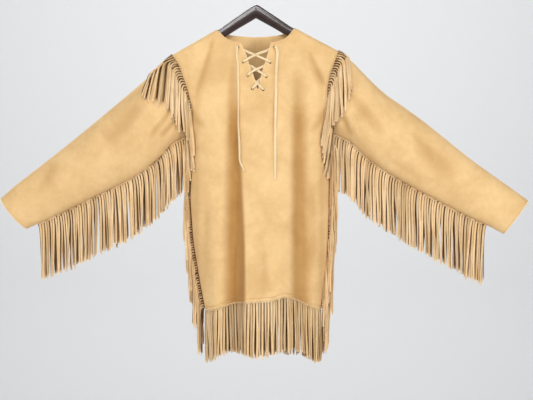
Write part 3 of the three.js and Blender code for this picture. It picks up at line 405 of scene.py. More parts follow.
def armhole_depth(drop, tip, underarm, z):
    """How far the armhole's seam stands from y = 0, closing to a point at the underarm."""
    part = np.clip((tip - z) / (tip - underarm), 0, 1)
    closing = np.sqrt(np.clip(1 - (np.maximum(part - 0.6, 0) / 0.4) ** 2, 0, 1))
    return (shoulder_round(drop) + ARMHOLE_DEPTH * np.sin(math.pi * part)) * closing


def body_depth(face, x, z, fine=True):
    """How far the outer face of the body stands from y = 0."""
    x, z = np.asarray(x, float), np.asarray(z, float)
    left, right = curve(LEFT_EDGE, z), curve(RIGHT_EDGE, z)
    across = np.clip((2 * x - left - right) / (right - left), -1, 1)
    middle = np.sqrt(np.clip(1 - np.abs(across) ** 2.3, 0, 1))
    drop = straight(SHOULDER_LINE, x) - z
    flare = HEM_FLARE * ease((-500 - z) / 300)
    full = shoulder_round(drop) + SWELL[face] * ease(drop / 260) + flare
    full = full + hanging_folds(face, x, z)
    if fine:
        small = creases(BODY_CREASES[face], x, z) + hand_waves(x, z, 5 if face == FRONT else 6)
        full = full + small * ease(drop / 40)
    tip = np.where(across < 0, LEFT_EDGE[0][0], RIGHT_EDGE[0][0])
    underarm = np.where(across < 0, UNDERARM["left"], UNDERARM["right"])
    return middle * full + (1 - middle) * armhole_depth(drop, tip, underarm, z)


def body_normal(face, x, z, fine=True):
    """Way out of the body's outer face."""
    x, z = np.asarray(x, float), np.asarray(z, float)
    slope_x = (body_depth(face, x + 1, z, fine) - body_depth(face, x - 1, z, fine)) / 2
    slope_z = (body_depth(face, x, z + 1, fine) - body_depth(face, x, z - 1, fine)) / 2
    normal = np.stack([-slope_x, np.full_like(slope_x, face), -slope_z], axis=-1)
    return unit(normal)


def skin_depth(face, x, z, fine=True):
    """The same, but never less than half the gap between two seamed panels."""
    return np.maximum(body_depth(face, x, z, fine), SEAM_DEPTH)


def body_point(face, x, z, out, fine=True):
    """Point at a height over the body's outer face."""
    x, z = np.asarray(x, float), np.asarray(z, float)
    place = np.stack([x, face * skin_depth(face, x, z, fine), z], axis=-1)
    return place + body_normal(face, x, z, fine) * np.asarray(out, float)[..., None]

# ---- what a user may change


def colour_setting(name, description, default):
    return FloatVectorProperty(
        name=name, description=description, subtype="COLOR", size=3, min=0, max=1,
        default=default,
    )


def length_setting(name, description, default, low, high):
    return FloatProperty(
        name=name, description=description, default=default, min=low, max=high, unit="LENGTH",
    )


def count_setting(name, description, default):
    return IntProperty(name=name, description=description, default=default, min=8)


class ShirtSkin(bpy.types.PropertyGroup):
    """Sizes and colours of the buckskin"""

    thickness: length_setting("Skin Thickness", "Thickness of the buckskin", 0.002, 0.001, 0.003)
    pale: colour_setting("Pale Nap", "Colour where the nap is brushed up", (0.88, 0.605, 0.295))
    deep: colour_setting("Deep Nap", "Colour where the nap lies flat", (0.70, 0.435, 0.185))
    cut: colour_setting("Cut Edge", "Colour of the freshly cut edge", (0.93, 0.72, 0.46))


class ShirtFringe(bpy.types.PropertyGroup):
    """Sizes of the fringe"""

    width: length_setting(
        "Strand Width", "Width that each strand is cut to", 0.0056, 0.002, 0.009
    )
    thickness: length_setting(
        "Strand Thickness", "Thickness of the fringe skin", 0.0019, 0.001, 0.003
    )
    hem_strands: count_setting("Hem Strands", "Strands in one row of the hem", 52)
    sleeve_strands: count_setting("Sleeve Strands", "Strands in one row of a sleeve", 62)
    armhole_strands: count_setting("Armhole Strands", "Strands in one row of an armhole", 66)
    side_strands: count_setting("Side Strands", "Strands in one row of a side seam", 66)
    pale: colour_setting("Pale Strand", "Lightest strand colour", (0.93, 0.68, 0.40))
    deep: colour_setting("Deep Strand", "Darkest strand colour", (0.74, 0.47, 0.21))


class ShirtLace(bpy.types.PropertyGroup):
    """Sizes and colour of the lace"""

    width: length_setting("Lace Width", "Width of the flat thong", 0.0071, 0.002, 0.008)
    thickness: length_setting(
        "Lace Thickness", "Thickness of the flat thong", 0.0019, 0.001, 0.003
    )
    colour: colour_setting("Lace Colour", "Colour of the thong", (0.93, 0.73, 0.44))


class ShirtFittings(bpy.types.PropertyGroup):
    """Sizes and colours of the eyelets, the hanger and the sewing"""

    eyelet_radius: length_setting(
        "Eyelet Radius", "Outer radius of an eyelet's rim", 0.0033, 0.002, 0.0036
    )
    wood: colour_setting("Hanger Wood", "Colour of the stained wood", (0.026, 0.010, 0.0075))
    stitch_length: length_setting("Stitch Length", "Length of one stitch", 0.0034, 0.002, 0.006)
    thread: colour_setting("Thread", "Colour of the sewing thread", (0.60, 0.38, 0.17))


class ShirtStage(bpy.types.PropertyGroup):
    """Camera, floor and lights"""

    distance: length_setting(
        "Camera Distance", "From the camera to the middle of the shirt", 4.0, 1.0, 12.0
    )
    view_width: length_setting(
        "View Width", "Width of the view at the middle of the shirt", 1.4391, 0.5, 4.0
    )
    floor: colour_setting(
        "Floor Colour", "Colour of the floor and the backdrop", (0.72, 0.725, 0.735)
    )


SETTINGS = {
    "shirt_skin": ShirtSkin, "shirt_fringe": ShirtFringe, "shirt_lace": ShirtLace,
    "shirt_fittings": ShirtFittings, "shirt_stage": ShirtStage,
}

# ---- meshes


def add_mesh(name, points, faces, material, edges=()):
    """New piece at the origin from points in metres."""
    mesh = bpy.data.meshes.new(name)
    mesh.from_pydata([tuple(p) for p in np.asarray(points, float)], list(edges), faces)
    mesh.validate()
    mesh.update()
    piece = bpy.data.objects.new(name, mesh)
    bpy.context.scene.collection.objects.link(piece)
    if material:
        mesh.materials.append(material)
    return piece


def smooth(piece, angle=50):
    """Smooth shading with crisp edges past an angle."""
    mesh = piece.data
    mesh.polygons.foreach_set("use_smooth", [True] * len(mesh.polygons))
    mesh.set_sharp_from_angle(angle=math.radians(angle))


def paint(piece, name, values):
    """Stores one number for each point, for a material to read."""
    layer = piece.data.attributes.new(name, "FLOAT", "POINT")
    layer.data.foreach_set("value", np.asarray(values, np.float32))


def point_normals(points, quads):
    """Way out of a grid of quads at each of its points."""
    quads = np.asarray(quads)
    corners = points[quads]
    crossed = np.cross(corners[:, 2] - corners[:, 0], corners[:, 3] - corners[:, 1])
    normals = np.zeros_like(points)
    for k in range(4):
        np.add.at(normals, quads[:, k], crossed)
    return unit(normals)


def add_skin(name, outer, quads, thickness, material):
    """Wall of skin behind an outer layer of quads, closed along every edge."""
    quads = np.asarray(quads)
    outer = np.asarray(outer, float)
    count = len(outer)
    inner = outer - point_normals(outer, quads) * thickness
    sides = np.concatenate([quads[:, [k, (k + 1) % 4]] for k in range(4)])
    forward = {(int(a), int(b)) for a, b in sides}
    rim = [(b, a, a + count, b + count) for a, b in forward if (b, a) not in forward]
    back = quads[:, ::-1] + count
    faces = [tuple(int(i) for i in face) for face in np.concatenate([quads, back])] + rim
    return add_mesh(name, np.concatenate([outer, inner]), faces, material)


def outward(piece):
    """Turns the faces of a closed piece so that they point out."""
    shape = bmesh.new()
    shape.from_mesh(piece.data)
    bmesh.ops.recalc_face_normals(shape, faces=shape.faces)
    shape.to_mesh(piece.data)
    shape.free()


def add_tube(name, rings, material):
    """Closed piece from rings of points in metres, each joined to the next."""
    count, size = rings.shape[:2]
    faces = []
    for start in range(0, (count - 1) * size, size):
        for i in range(size):
            a, b = start + i, start + (i + 1) % size
            faces.append((a, b, b + size, a + size))
    faces.append(tuple(reversed(range(size))))
    faces.append(tuple((count - 1) * size + i for i in range(size)))
    piece = add_mesh(name, rings.reshape(-1, 3), faces, material)
    outward(piece)
    return piece


def keep_result(piece):
    """Keeps what a piece's modifiers make as its plain mesh."""
    made = bpy.data.meshes.new_from_object(
        piece.evaluated_get(bpy.context.evaluated_depsgraph_get())
    )
    piece.modifiers.clear()
    piece.data = made


def finish_piece(piece, slot, *nodes):
    """Hands a piece to the frame."""
    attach(piece, "root")
    if nodes:
        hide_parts(*nodes)


# ---- materials


def fill(tree, inputs, values):
    """Links or sets a node's inputs by name."""
    for key, value in values.items():
        if isinstance(value, bpy.types.NodeSocket):
            tree.links.new(value, inputs[key])
        else:
            inputs[key].default_value = value


def add_node(tree, kind, inputs=(), **values):
    """Node with its inputs linked or set, and its own values."""
    node = tree.nodes.new(kind)
    for key, value in values.items():
        setattr(node, key, value)
    fill(tree, node.inputs, dict(inputs))
    return node


def calculate(tree, operation, *values):
    """Result of a Math node."""
    return add_node(
        tree, "ShaderNodeMath", dict(enumerate(values)), operation=operation
    ).outputs[0]


def noise(tree, place, scale, detail, roughness, distortion=0.0):
    return add_node(
        tree, "ShaderNodeTexNoise",
        {"Vector": place, "Scale": scale, "Detail": detail, "Roughness": roughness,
         "Distortion": distortion},
    ).outputs["Fac"]


def map_range(tree, value, low, high, to_low=0.0, to_high=1.0, kind="LINEAR"):
    return add_node(
        tree, "ShaderNodeMapRange",
        {"Value": value, "From Min": low, "From Max": high, "To Min": to_low, "To Max": to_high},
        interpolation_type=kind,
    ).outputs["Result"]


def mix_colour(tree, factor, first, second, blend="MIX"):
    """Mixes two colours, each a tuple of three or a socket."""
    colours = [(*c, 1) if isinstance(c, tuple) else c for c in (first, second)]
    return add_node(
        tree, "ShaderNodeMix", {0: factor, 6: colours[0], 7: colours[1]},
        data_type="RGBA", blend_type=blend,
    ).outputs[2]


def read_mask(tree, name):
    """A painted number of the mesh, kept from 0 to 1."""
    mask = add_node(tree, "ShaderNodeAttribute", attribute_name=name, attribute_type="GEOMETRY")
    return map_range(tree, mask.outputs["Fac"], 0.0, 1.0)


def new_group(name, kind, inputs, outputs):
    """Node group with its sockets, the sockets that it is given and those that it fills."""
    tree = bpy.data.node_groups.new(name, kind)
    for label, socket, value in inputs:
        made = tree.interface.new_socket(
            label, in_out="INPUT", socket_type=f"NodeSocket{socket}"
        )
        if value is not None:
            made.default_value = value
    for label, socket in outputs:
        tree.interface.new_socket(label, in_out="OUTPUT", socket_type=f"NodeSocket{socket}")
    given = tree.nodes.new("NodeGroupInput").outputs
    return tree, given, tree.nodes.new("NodeGroupOutput").inputs


def hide_group():
    """Mottling, nap and height of a brushed hide, on Object coordinates."""
    name = "Hide Surface"
    if name in bpy.data.node_groups:
        return bpy.data.node_groups[name]
    tree, given, result = new_group(
        name, "ShaderNodeTree",
        [("Cloud Scale", "Float", 13.0), ("Mottle Scale", "Float", 60.0),
         ("Nap Scale", "Float", 900.0)],
        [("Clouds", "Float"), ("Nap", "Float"), ("Height", "Float")],
    )
    place = add_node(tree, "ShaderNodeTexCoord").outputs["Object"]
    clouds = noise(tree, place, given["Cloud Scale"], 3.0, 0.55, 0.4)
    mottle = noise(tree, place, given["Mottle Scale"], 6.0, 0.74)
    both = calculate(tree, "MULTIPLY_ADD", mottle, 0.5, clouds)
    spread = map_range(tree, both, 0.40, 1.10, kind="SMOOTHSTEP")
    brushed = add_node(tree, "ShaderNodeMapping", {"Vector": place, "Scale": (1.0, 1.0, 0.55)})
    nap = noise(tree, brushed.outputs[0], given["Nap Scale"], 3.0, 0.7)
    pores = noise(tree, place, 260.0, 4.0, 0.6)
    height = calculate(tree, "MULTIPLY_ADD", pores, 0.9, nap)
    for label, socket in (("Clouds", spread), ("Nap", nap), ("Height", height)):
        tree.links.new(socket, result[label])
    return tree


def new_material(name):
    """Material with its node tree and its shader's inputs."""
    material = bpy.data.materials.new(name)
    material.use_nodes = True
    return material, material.node_tree, material.node_tree.nodes["Principled BSDF"].inputs


def relief(tree, height, strength, distance):
    return add_node(
        tree, "ShaderNodeBump", {"Height": height, "Strength": strength, "Distance": distance}
    ).outputs["Normal"]


def hide_material(
    name, pale, deep, cut, nap_scale=900.0, bump=0.32, shade=0.9, dark=(0.53, 0.38, 0.19)
):
    """Napped skin: cloudy tone, fine nap, paler cut edges, and a painted shade that deepens the
    hollows.
    """
    if name in bpy.data.materials:
        return bpy.data.materials[name]
    material, tree, shader = new_material(name)
    hide = tree.nodes.new("ShaderNodeGroup")
    hide.node_tree = hide_group()
    hide.inputs["Nap Scale"].default_value = nap_scale
    nap = hide.outputs["Nap"]
    tone = calculate(tree, "MULTIPLY_ADD", nap, 0.55, hide.outputs["Clouds"])
    colour = mix_colour(tree, map_range(tree, tone, 0.1, 1.25), tuple(deep), tuple(pale))
    # Painted shade: the mesh's painted mask, times the shade, darkens the colour towards the dark
    # colour.
    dim = calculate(tree, "MULTIPLY", read_mask(tree, "painted_shade"), shade)
    colour = mix_colour(tree, dim, colour, dark, "MULTIPLY")
    colour = mix_colour(tree, read_mask(tree, "cut_edge"), colour, tuple(cut))
    fill(tree, shader, {
        "Base Color": colour,
        "Roughness": map_range(tree, nap, 0.25, 0.75, 0.84, 1.0),
        "Normal": relief(tree, hide.outputs["Height"], bump, 0.0006),
        "Specular IOR Level": 0.22,
        "Sheen Weight": 0.22,
        "Sheen Roughness": 0.55,
        "Sheen Tint": (1.0, 0.86, 0.66, 1.0),
    })
    return material


def plain_material(
    name, colour, roughness, metallic=0.0, scale=120.0, stretch=(1.0, 1.0, 1.0), bump=0.1,
    coat=0.0, spread=0.26,
):
    """Solid finish with fine grain: metal, thread, wood or painted floor."""
    if name in bpy.data.materials:
        return bpy.data.materials[name]
    material, tree, shader = new_material(name)
    place = add_node(tree, "ShaderNodeTexCoord").outputs["Object"]
    along = add_node(tree, "ShaderNodeMapping", {"Vector": place, "Scale": stretch})
    grain = noise(tree, along.outputs[0], scale, 5.0, 0.6)
    dark = tuple((1 - spread) * c for c in colour)
    light = tuple(min((1 + spread) * c, 1) for c in colour)
    smoothest, roughest = max(roughness - 0.08, 0.02), min(roughness + 0.08, 1.0)
    fill(tree, shader, {
        "Base Color": mix_colour(tree, grain, dark, light),
        "Roughness": map_range(tree, grain, 0.3, 0.7, smoothest, roughest),
        "Normal": relief(tree, grain, bump, 0.0004),
        "Metallic": metallic,
    })
    if coat:
        fill(tree, shader, {"Coat Weight": coat, "Coat Roughness": 0.12})
    return material


def buckskin():
    skin = bpy.context.scene.shirt_skin
    return hide_material("Buckskin Nap", skin.pale, skin.deep, skin.cut)


def fringe_skin():
    fringe = bpy.context.scene.shirt_fringe
    skin = bpy.context.scene.shirt_skin
    return hide_material(
        "Fringe Skin", fringe.pale, fringe.deep, skin.cut, nap_scale=700.0, bump=0.26, shade=1.0,
        dark=(0.12, 0.068, 0.03),
    )


def thong_skin():
    lace = bpy.context.scene.shirt_lace
    deep = tuple(0.82 * c for c in lace.colour)
    return hide_material(
        "Lace Thong", lace.colour, deep, lace.colour, nap_scale=700.0, bump=0.24, shade=0.6
    )


# ---- stage


SENSOR_WIDTH = 36
# Middle of the view, in metres.
VIEW_X, VIEW_Z = 0.02835, -0.5157

# The paper's floor and its rise behind the shirt, in metres.
PAPER_NEAR, PAPER_FAR, PAPER_HALF = -4.2, 9.0, 4.5
PAPER_FLOOR, PAPER_TOP, PAPER_BEND = -2.4, 3.2, 1.2

# Soft boxes: name, place, the point that it faces, width and height in metres, watts.
LIGHTS = (
    ("Overhead Box", (-0.3, -3.5, 1.8), (0.0, 0.0, -1.1), (2.4, 1.2), 92),
    ("Left Box", (-3.6, -3.0, -0.5), (0.0, 0.0, -0.8), (1.4, 2.0), 54),
    ("Right Box", (3.3, -3.2, -0.5), (0.0, 0.0, -0.8), (0.9, 1.3), 72),
    ("Backdrop Box", (0.0, 2.6, 3.2), (0.0, 9.0, -1.8), (6.0, 1.6), 410),
    ("Rear Box", (-0.6, 2.0, 2.3), (0.0, 0.0, -0.6), (1.8, 0.6), 60),
)


class SHIRT_OT_stage(bpy.types.Operator):
    """Camera, pale floor running up into a backdrop, and soft studio lights"""

    bl_idname = "shirt.build_stage"
    bl_label = "Stage"

    def execute(self, context):
        stage = context.scene.shirt_stage
        camera = bpy.data.objects.new("Camera", bpy.data.cameras.new("Camera"))
        context.scene.collection.objects.link(camera)
        camera.data.sensor_width = SENSOR_WIDTH
        camera.data.lens = SENSOR_WIDTH * stage.distance / stage.view_width
        camera.data.clip_end = 100
        camera.location = (VIEW_X, -stage.distance, VIEW_Z)
        camera.rotation_euler = (math.pi / 2, 0, 0)
        context.scene.camera = camera
        context.scene.view_settings.view_transform = "Standard"

        rise = PAPER_FAR - PAPER_BEND
        profile = [(PAPER_NEAR, PAPER_FLOOR), (rise, PAPER_FLOOR)]
        for turn in np.linspace(0, math.pi / 2, 25)[1:]:
            up = PAPER_BEND * (1 - math.cos(turn))
            profile.append((rise + PAPER_BEND * math.sin(turn), PAPER_FLOOR + up))
        profile.append((PAPER_FAR, PAPER_TOP))
        points = [(x, y, z) for y, z in profile for x in (-PAPER_HALF, PAPER_HALF)]
        faces = [(i, i + 1, i + 3, i + 2) for i in range(0, 2 * len(profile) - 2, 2)]
        paper = plain_material("Backdrop Paper", stage.floor, 0.9, bump=0.0, spread=0.02)
        backdrop = add_mesh("backdrop", points, faces, paper)
        smooth(backdrop, 180)

        world = bpy.data.worlds.new("Studio Air")
        world.use_nodes = True
        air = {"Color": (1, 1, 1, 1), "Strength": 0.21}
        fill(world.node_tree, world.node_tree.nodes["Background"].inputs, air)
        context.scene.world = world
        for name, place, aim, size, power in LIGHTS:
            light = bpy.data.lights.new(name, "AREA")
            light.shape = "RECTANGLE"
            light.size, light.size_y = size
            light.energy = power
            holder = bpy.data.objects.new(name, light)
            holder.location = place
            holder.rotation_euler = (
                (Vector(aim) - Vector(place)).to_track_quat("-Z", "Y").to_euler()
            )
            context.scene.collection.objects.link(holder)
        return {"FINISHED"}


# ---- lace


def between(a, b, start, end, t):
    """Mix of two points or lines, from a at the start to b at the end."""
    return (end - t) / (end - start) * a + (t - start) / (end - start) * b


def centripetal(points, steps):
    """Even points along a smooth curve through the given ones."""
    points = np.asarray(points, float)
    keep = np.concatenate([[True], np.linalg.norm(np.diff(points, axis=0), axis=1) > 1e-9])
    points = points[keep]
    first, last = 2 * points[0] - points[1], 2 * points[-1] - points[-2]
    held = np.concatenate([[first], points, [last]])
    made = []
    for i in range(1, len(held) - 2):
        p0, p1, p2, p3 = held[i - 1 : i + 3]
        t1 = np.linalg.norm(p1 - p0) ** 0.5
        t2 = t1 + np.linalg.norm(p2 - p1) ** 0.5
        t3 = t2 + np.linalg.norm(p3 - p2) ** 0.5
        t = np.linspace(t1, t2, 16, endpoint=False)[:, None]
        middle = between(p1, p2, t1, t2, t)
        before = between(between(p0, p1, 0, t1, t), middle, 0, t2, t)
        after = between(middle, between(p2, p3, t2, t3, t), t1, t3, t)
        made.append(between(before, after, t1, t2, t))
    made = np.concatenate([*made, points[-1:]])
    reach = reach_along(made)
    return spot(np.linspace(0, reach[-1], steps), reach, made).T


# Section of the thong as shares of its width and thickness, and how far each of its
# points shows the cut edge.
THONG_SECTION = (
    (-0.5, 0.0), (-0.44, 0.42), (-0.2, 0.5), (0.2, 0.5), (0.44, 0.42),
    (0.5, 0.0), (0.44, -0.42), (0.2, -0.5), (-0.2, -0.5), (-0.44, -0.42),
)
THONG_CUT = 0.7 * np.array([1.0, 0.7, 0, 0, 0.7, 1.0, 0.7, 0, 0, 0.7])


def thong_mesh(name, path, normals, width, thickness, material, turns=0.0):
    """Flat thong with rounded edges along a path, its flat side along the normals."""
    along = unit(np.gradient(path, axis=0))
    flat = unit(normals - along * np.sum(normals * along, axis=1, keepdims=True))
    for i in range(1, len(flat)):
        if np.dot(flat[i], flat[i - 1]) < 0:
            flat[i] *= -1
    side = np.cross(flat, along)
    twist, width = (np.broadcast_to(v, len(path))[:, None] for v in (turns, width))
    flat, side = (
        flat * np.cos(twist) + side * np.sin(twist),
        side * np.cos(twist) - flat * np.sin(twist),
    )
    rings = np.stack(
        [path + side * (a * width) + flat * (b * thickness) for a, b in THONG_SECTION], axis=1
    )
    piece = add_tube(name, rings, material)
    paint(piece, "cut_edge", np.tile(THONG_CUT, len(path)))
    smooth(piece, 80)
    return piece


# Points along the laced stretch and along a loose end.
LACED_POINTS, TAIL_POINTS = 420, 180
# For each loose end: its share of the thong's width, and where its slow twist starts.
TAIL_FORMS = {"left": (0.76, 0.4), "right": (1.04, 2.2)}
# Rows of a tail's table that belong to the bend out of the eyelet.
TAIL_BEND = 5


class SHIRT_OT_lace(bpy.types.Operator):
    """The thong laced through the slit, and its two loose ends down the front"""

    bl_idname = "shirt.build_lace"
    bl_label = "Lace"

    def build_laced_stretch(self, lace, thong):
        """Uneven thong, pinched where it runs through an eyelet."""
        stops = []
        for stop in LACE:
            if isinstance(stop[0], str):
                node, above, below = stop
                heights = np.linspace(above, below, 3)
                stops += [(*EYELETS[node], height) for height in heights]
            else:
                stops.append(stop)
        x, z, out = np.array(stops, float).T
        path = centripetal(body_point(FRONT, x, z, out, fine=False), LACED_POINTS)
        normals = body_normal(FRONT, path[:, 0], path[:, 2], fine=False)
        rng = np.random.default_rng(3)
        knots = np.linspace(0, LACED_POINTS - 1, 30)
        uneven = np.interp(np.arange(LACED_POINTS), knots, rng.uniform(-1, 1, len(knots)))
        from_eyelet = np.array([
            min(math.hypot(p[0] - x, p[2] - z) for x, z in EYELETS.values()) for p in path
        ])
        pinch = 0.5 + 0.5 * ease((from_eyelet - 0.6) / 5.0)
        width = lace.width * (0.93 + 0.08 * uneven) * pinch
        crossing = thong_mesh("laced_thong", path * MM, normals, width, lace.thickness, thong)
        finish_piece(crossing, "thong", "lace_crossing")

    def build_tail(self, side, lace, thong):
        """Loose end that lies on the front below its eyelet."""
        bend, hang = TAILS[side][:TAIL_BEND], TAILS[side][TAIL_BEND - 1 :]
        down = np.linspace(hang[0][1], hang[-1][1], 13)[1:]
        hanging = np.stack([curve(hang, down, 1, 0), down, curve(hang, down, 1, 2)], axis=1)
        x, z, out = np.concatenate([np.array(bend, float), hanging]).T
        route = body_point(FRONT, x, z, out, fine=False)
        skin = body_point(FRONT, x, z, np.where(out < 4, 1.6, out))
        lying = slice(TAIL_BEND, None)
        route[lying, 1] = np.minimum(route[lying, 1], skin[lying, 1])
        path = centripetal(route, TAIL_POINTS)
        normals = body_normal(FRONT, path[:, 0], path[:, 2], fine=False)
        share = np.linspace(0, 1, TAIL_POINTS)
        breadth, phase = TAIL_FORMS[side]
        turns = 0.55 * np.sin(share * 9.0 + phase) * ease(share * 8)
        wide = lace.width * breadth
        narrowed = 1 - 0.28 * ease((share - 0.93) / 0.07)
        tail = thong_mesh(
            f"lace_end_{side}", path * MM, normals, wide * narrowed, lace.thickness, thong, turns
        )
        finish_piece(tail, "thong", f"lace_tail_{side}")

    def execute(self, context):
        lace = context.scene.shirt_lace
        thong = thong_skin()
        self.build_laced_stretch(lace, thong)
        for side in TAILS:
            self.build_tail(side, lace, thong)
        return {"FINISHED"}


# ---- front and back


# Columns over one shoulder and rows down the armhole and the side, as shares of each.
SHOULDER_SHARES = np.array([0.25 * t + 0.75 * t**1.9 for t in np.linspace(0, 1, 34)])
ARMHOLE_SHARES = np.concatenate([
    [0, 0.0015, 0.004, 0.008, 0.013, 0.02, 0.029, 0.04, 0.053, 0.068, 0.085],
    np.linspace(0.104, 1, 46),
])
SIDE_SHARES = np.concatenate([np.linspace(0, 0.95, 98)[1:], np.linspace(0.954, 1, 14)])
# The slit's end, and how far below it and beside it the columns still lean, in mm.
SLIT_END, SLIT_FADE, SLIT_REACH = -222, 108, 95


def slit_fade(z):
    """How much of the slit's lean is left at a height."""
    return ease((z - SLIT_END + SLIT_FADE) / 119)


def slit_opening(z):
    """Middle and half width of the neck slit."""
    left, right = curve(SLIT, z, 0, 1), curve(SLIT, z, 0, 2)
    gap = np.where(z > SLIT_END, np.maximum((right - left) / 2, 0), 0)
    return (left + right) / 2 * slit_fade(z), gap


def side_rows(tip, hem_end, side):
    """Heights of a panel's rows along one of its sides."""
    under = UNDERARM[side]
    return np.concatenate([
        tip[1] + (under - tip[1]) * ARMHOLE_SHARES,
        under + (hem_end[1] - under) * SIDE_SHARES,
    ])[:, None]


def panel_places(face):
    """Columns and rows of a body panel: x and z of each crossing, and the open columns."""
    tip_left, tip_right = SHOULDER_LINE[0], SHOULDER_LINE[-1]
    hem = HEMS[face]
    tops = np.concatenate([
        tip_left[0] + (NECK[0] - tip_left[0]) * SHOULDER_SHARES,
        np.linspace(NECK[0], 0, 28)[1:],
        np.linspace(0, NECK[1], 28)[1:],
        (tip_right[0] + (NECK[1] - tip_right[0]) * SHOULDER_SHARES[::-1])[1:],
    ])
    centre = int(np.argmin(np.abs(tops)))
    split = face == FRONT
    if split:
        tops = np.insert(tops, centre, tops[centre])
    side = np.sign(np.arange(len(tops)) - centre - (0.5 if split else 0))
    open_top = (tops > NECK[0] + 0.1) & (tops < NECK[1] - 0.1)

    def part_columns(x, z, middle):
        """Moves the columns of the front aside from the slit."""
        if not split:
            return x
        aim, gap = slit_opening(z)
        near = np.clip(1 - np.abs(x - middle) / SLIT_REACH, 0, 1)
        return x + (aim - middle * slit_fade(z)) * near + side * gap * near

    parted = part_columns(tops, np.full_like(tops, -94.4), 0.0)
    top_z = np.where(open_top, curve(NECKLINES[face], parted), straight(SHOULDER_LINE, tops))
    left_z = side_rows(tip_left, hem[0], "left")
    right_z = side_rows(tip_right, hem[-1], "right")
    down = (tip_left[1] - left_z) / (tip_left[1] - hem[0][1])
    left_shift = curve(LEFT_EDGE, left_z) - (tip_left[0] + (hem[0][0] - tip_left[0]) * down)
    right_shift = curve(RIGHT_EDGE, right_z) - (tip_right[0] + (hem[-1][0] - tip_right[0]) * down)
    right_drop = right_z - (tip_right[1] + (hem[-1][1] - tip_right[1]) * down)
    part = (tops - tip_left[0]) / (tip_right[0] - tip_left[0])
    hem_x = hem[0][0] + (hem[-1][0] - hem[0][0]) * part
    x = tops + (hem_x - tops) * down + (1 - part) * left_shift + part * right_shift
    z = top_z + (curve(hem, hem_x) - top_z) * down + part * right_drop
    x = part_columns(x, z, x[:, centre : centre + 1])
    return x, z, centre, open_top


def sewn_groove(gap, place, width):
    """Depth from 0 to 1 of the groove that a line of stitches pulls into the skin."""
    return np.exp(-(((gap - place) / width) ** 2))


def panel(face, thickness, material):
    """A body panel, its tone in the hollows and its cut edges, for each point."""
    x, z, centre, open_top = panel_places(face)
    rows, columns = x.shape
    neck_gap = z[:1, :] - z
    collar = ease((neck_gap + 0.5) / 2) * open_top * sewn_groove(neck_gap, NECK_SEAM, 1.4)
    depth = skin_depth(face, x, z) - 0.9 * sewn_groove(z - z[-1:, :], HEM_SEAM, 1.7)
    depth = np.maximum(depth - (0.5 if face == BACK else 0.25) * collar, SEAM_DEPTH)
    points = np.stack([x, face * depth, z], axis=-1).reshape(-1, 3) * MM

    ids = np.arange(rows * columns).reshape(rows, columns)
    first = ids.copy()
    on_neck = np.zeros((rows, columns))
    on_neck[0, open_top] = 0.75
    if face == FRONT:
        closed = slit_opening(z[:, centre])[1] < 0.25
        first[closed, centre + 1] = ids[closed, centre]
        on_neck[~closed, centre : centre + 2] = 0.75
    left, right = first[:, :-1], first[:, 1:]
    quads = np.stack([left[:-1], right[:-1], right[1:], left[1:]], axis=-1)
    if face == FRONT:
        keep = np.arange(columns - 1) != centre
        quads = quads[:, keep][..., ::-1]
    used, quads = np.unique(quads.reshape(-1, 4), return_inverse=True)
    name = "front_panel" if face == FRONT else "back_panel"
    piece = add_skin(name, points[used], quads.reshape(-1, 4), thickness, material)

    x, z = x.reshape(-1)[used], z.reshape(-1)[used]
    # Painted shade in the hanging troughs and along the creases.
    painted_shade = fold_painted_shade(face, x, z)
    painted_shade += np.clip(-creases(BODY_CREASES[face], x, z) / 6, 0, 0.5)
    # Painted shade: the inner face of the back is darker where it shows below the lacing.
    inner = painted_shade
    if face == BACK:
        inner = painted_shade + ease((-178 - z) / 26) * np.exp(-((x / 40) ** 2))
    painted_shade = np.clip(np.concatenate([painted_shade, inner]), 0, 1)
    return piece, painted_shade, np.tile(on_neck.reshape(-1)[used], 2)


def punch_eyelet_holes(piece):
    """Cuts the eight eyelet holes through the front."""
    cutter = bmesh.new()
    for x, z in EYELETS.values():
        normal = Vector(body_normal(FRONT, x, z))
        place = Vector(body_point(FRONT, x, z, 0) * MM)
        turn = normal.to_track_quat("Z", "Y").to_matrix().to_4x4()
        turn.translation = place
        bmesh.ops.create_cone(
            cutter, cap_ends=True, segments=20, radius1=0.0025, radius2=0.0025,
            depth=0.016, matrix=turn,
        )
    mesh = bpy.data.meshes.new("punch")
    cutter.to_mesh(mesh)
    cutter.free()
    punch = bpy.data.objects.new("punch", mesh)
    bpy.context.scene.collection.objects.link(punch)
    cut = piece.modifiers.new("Holes", "BOOLEAN")
    cut.operation, cut.solver, cut.object = "DIFFERENCE", "EXACT", punch
    keep_result(piece)
    bpy.data.objects.remove(punch)


class SHIRT_OT_body(bpy.types.Operator):
    """Front panel with its laced slit, and back panel"""

    bl_idname = "shirt.build_body"
    bl_label = "Front and Back"

    def execute(self, context):
        skin = context.scene.shirt_skin
        for face, node in ((FRONT, "front"), (BACK, "back")):
            piece, painted_shade, on_neck = panel(face, skin.thickness, buckskin())
            paint(piece, "painted_shade", painted_shade)
            paint(piece, "cut_edge", on_neck)
            if face == FRONT:
                punch_eyelet_holes(piece)
            smooth(piece, 50)
            finish_piece(piece, "buckskin", node)
        return {"FINISHED"}


# ---- sleeves

AROUND = np.linspace(0, 2 * math.pi, 96, endpoint=False)
# Rows of a sleeve, by section.
ALONG = np.concatenate([
    [0, 0.03, 0.08, 0.16, 0.26, 0.38], np.linspace(0.5, 10.3, 92), np.linspace(10.38, 11, 15),
])
CUFF = 11
# Length of the last section, and how far the turned-up cuff's groove lies from its edge, in mm.
LAST_SECTION, CUFF_GROOVE = 72, 6.5
# How much of the armhole's own form each of the first sections keeps.
ARMHOLE_SHARE = ((0, 1.0), (1, 0.7407), (2, 0.2593), (3, 0.0), (4, 0.0))
# The way from the body into a sleeve, and the gap at its seam in mm.
INTO_SLEEVE, SLEEVE_GAP = (0.78, -0.62), 0.3


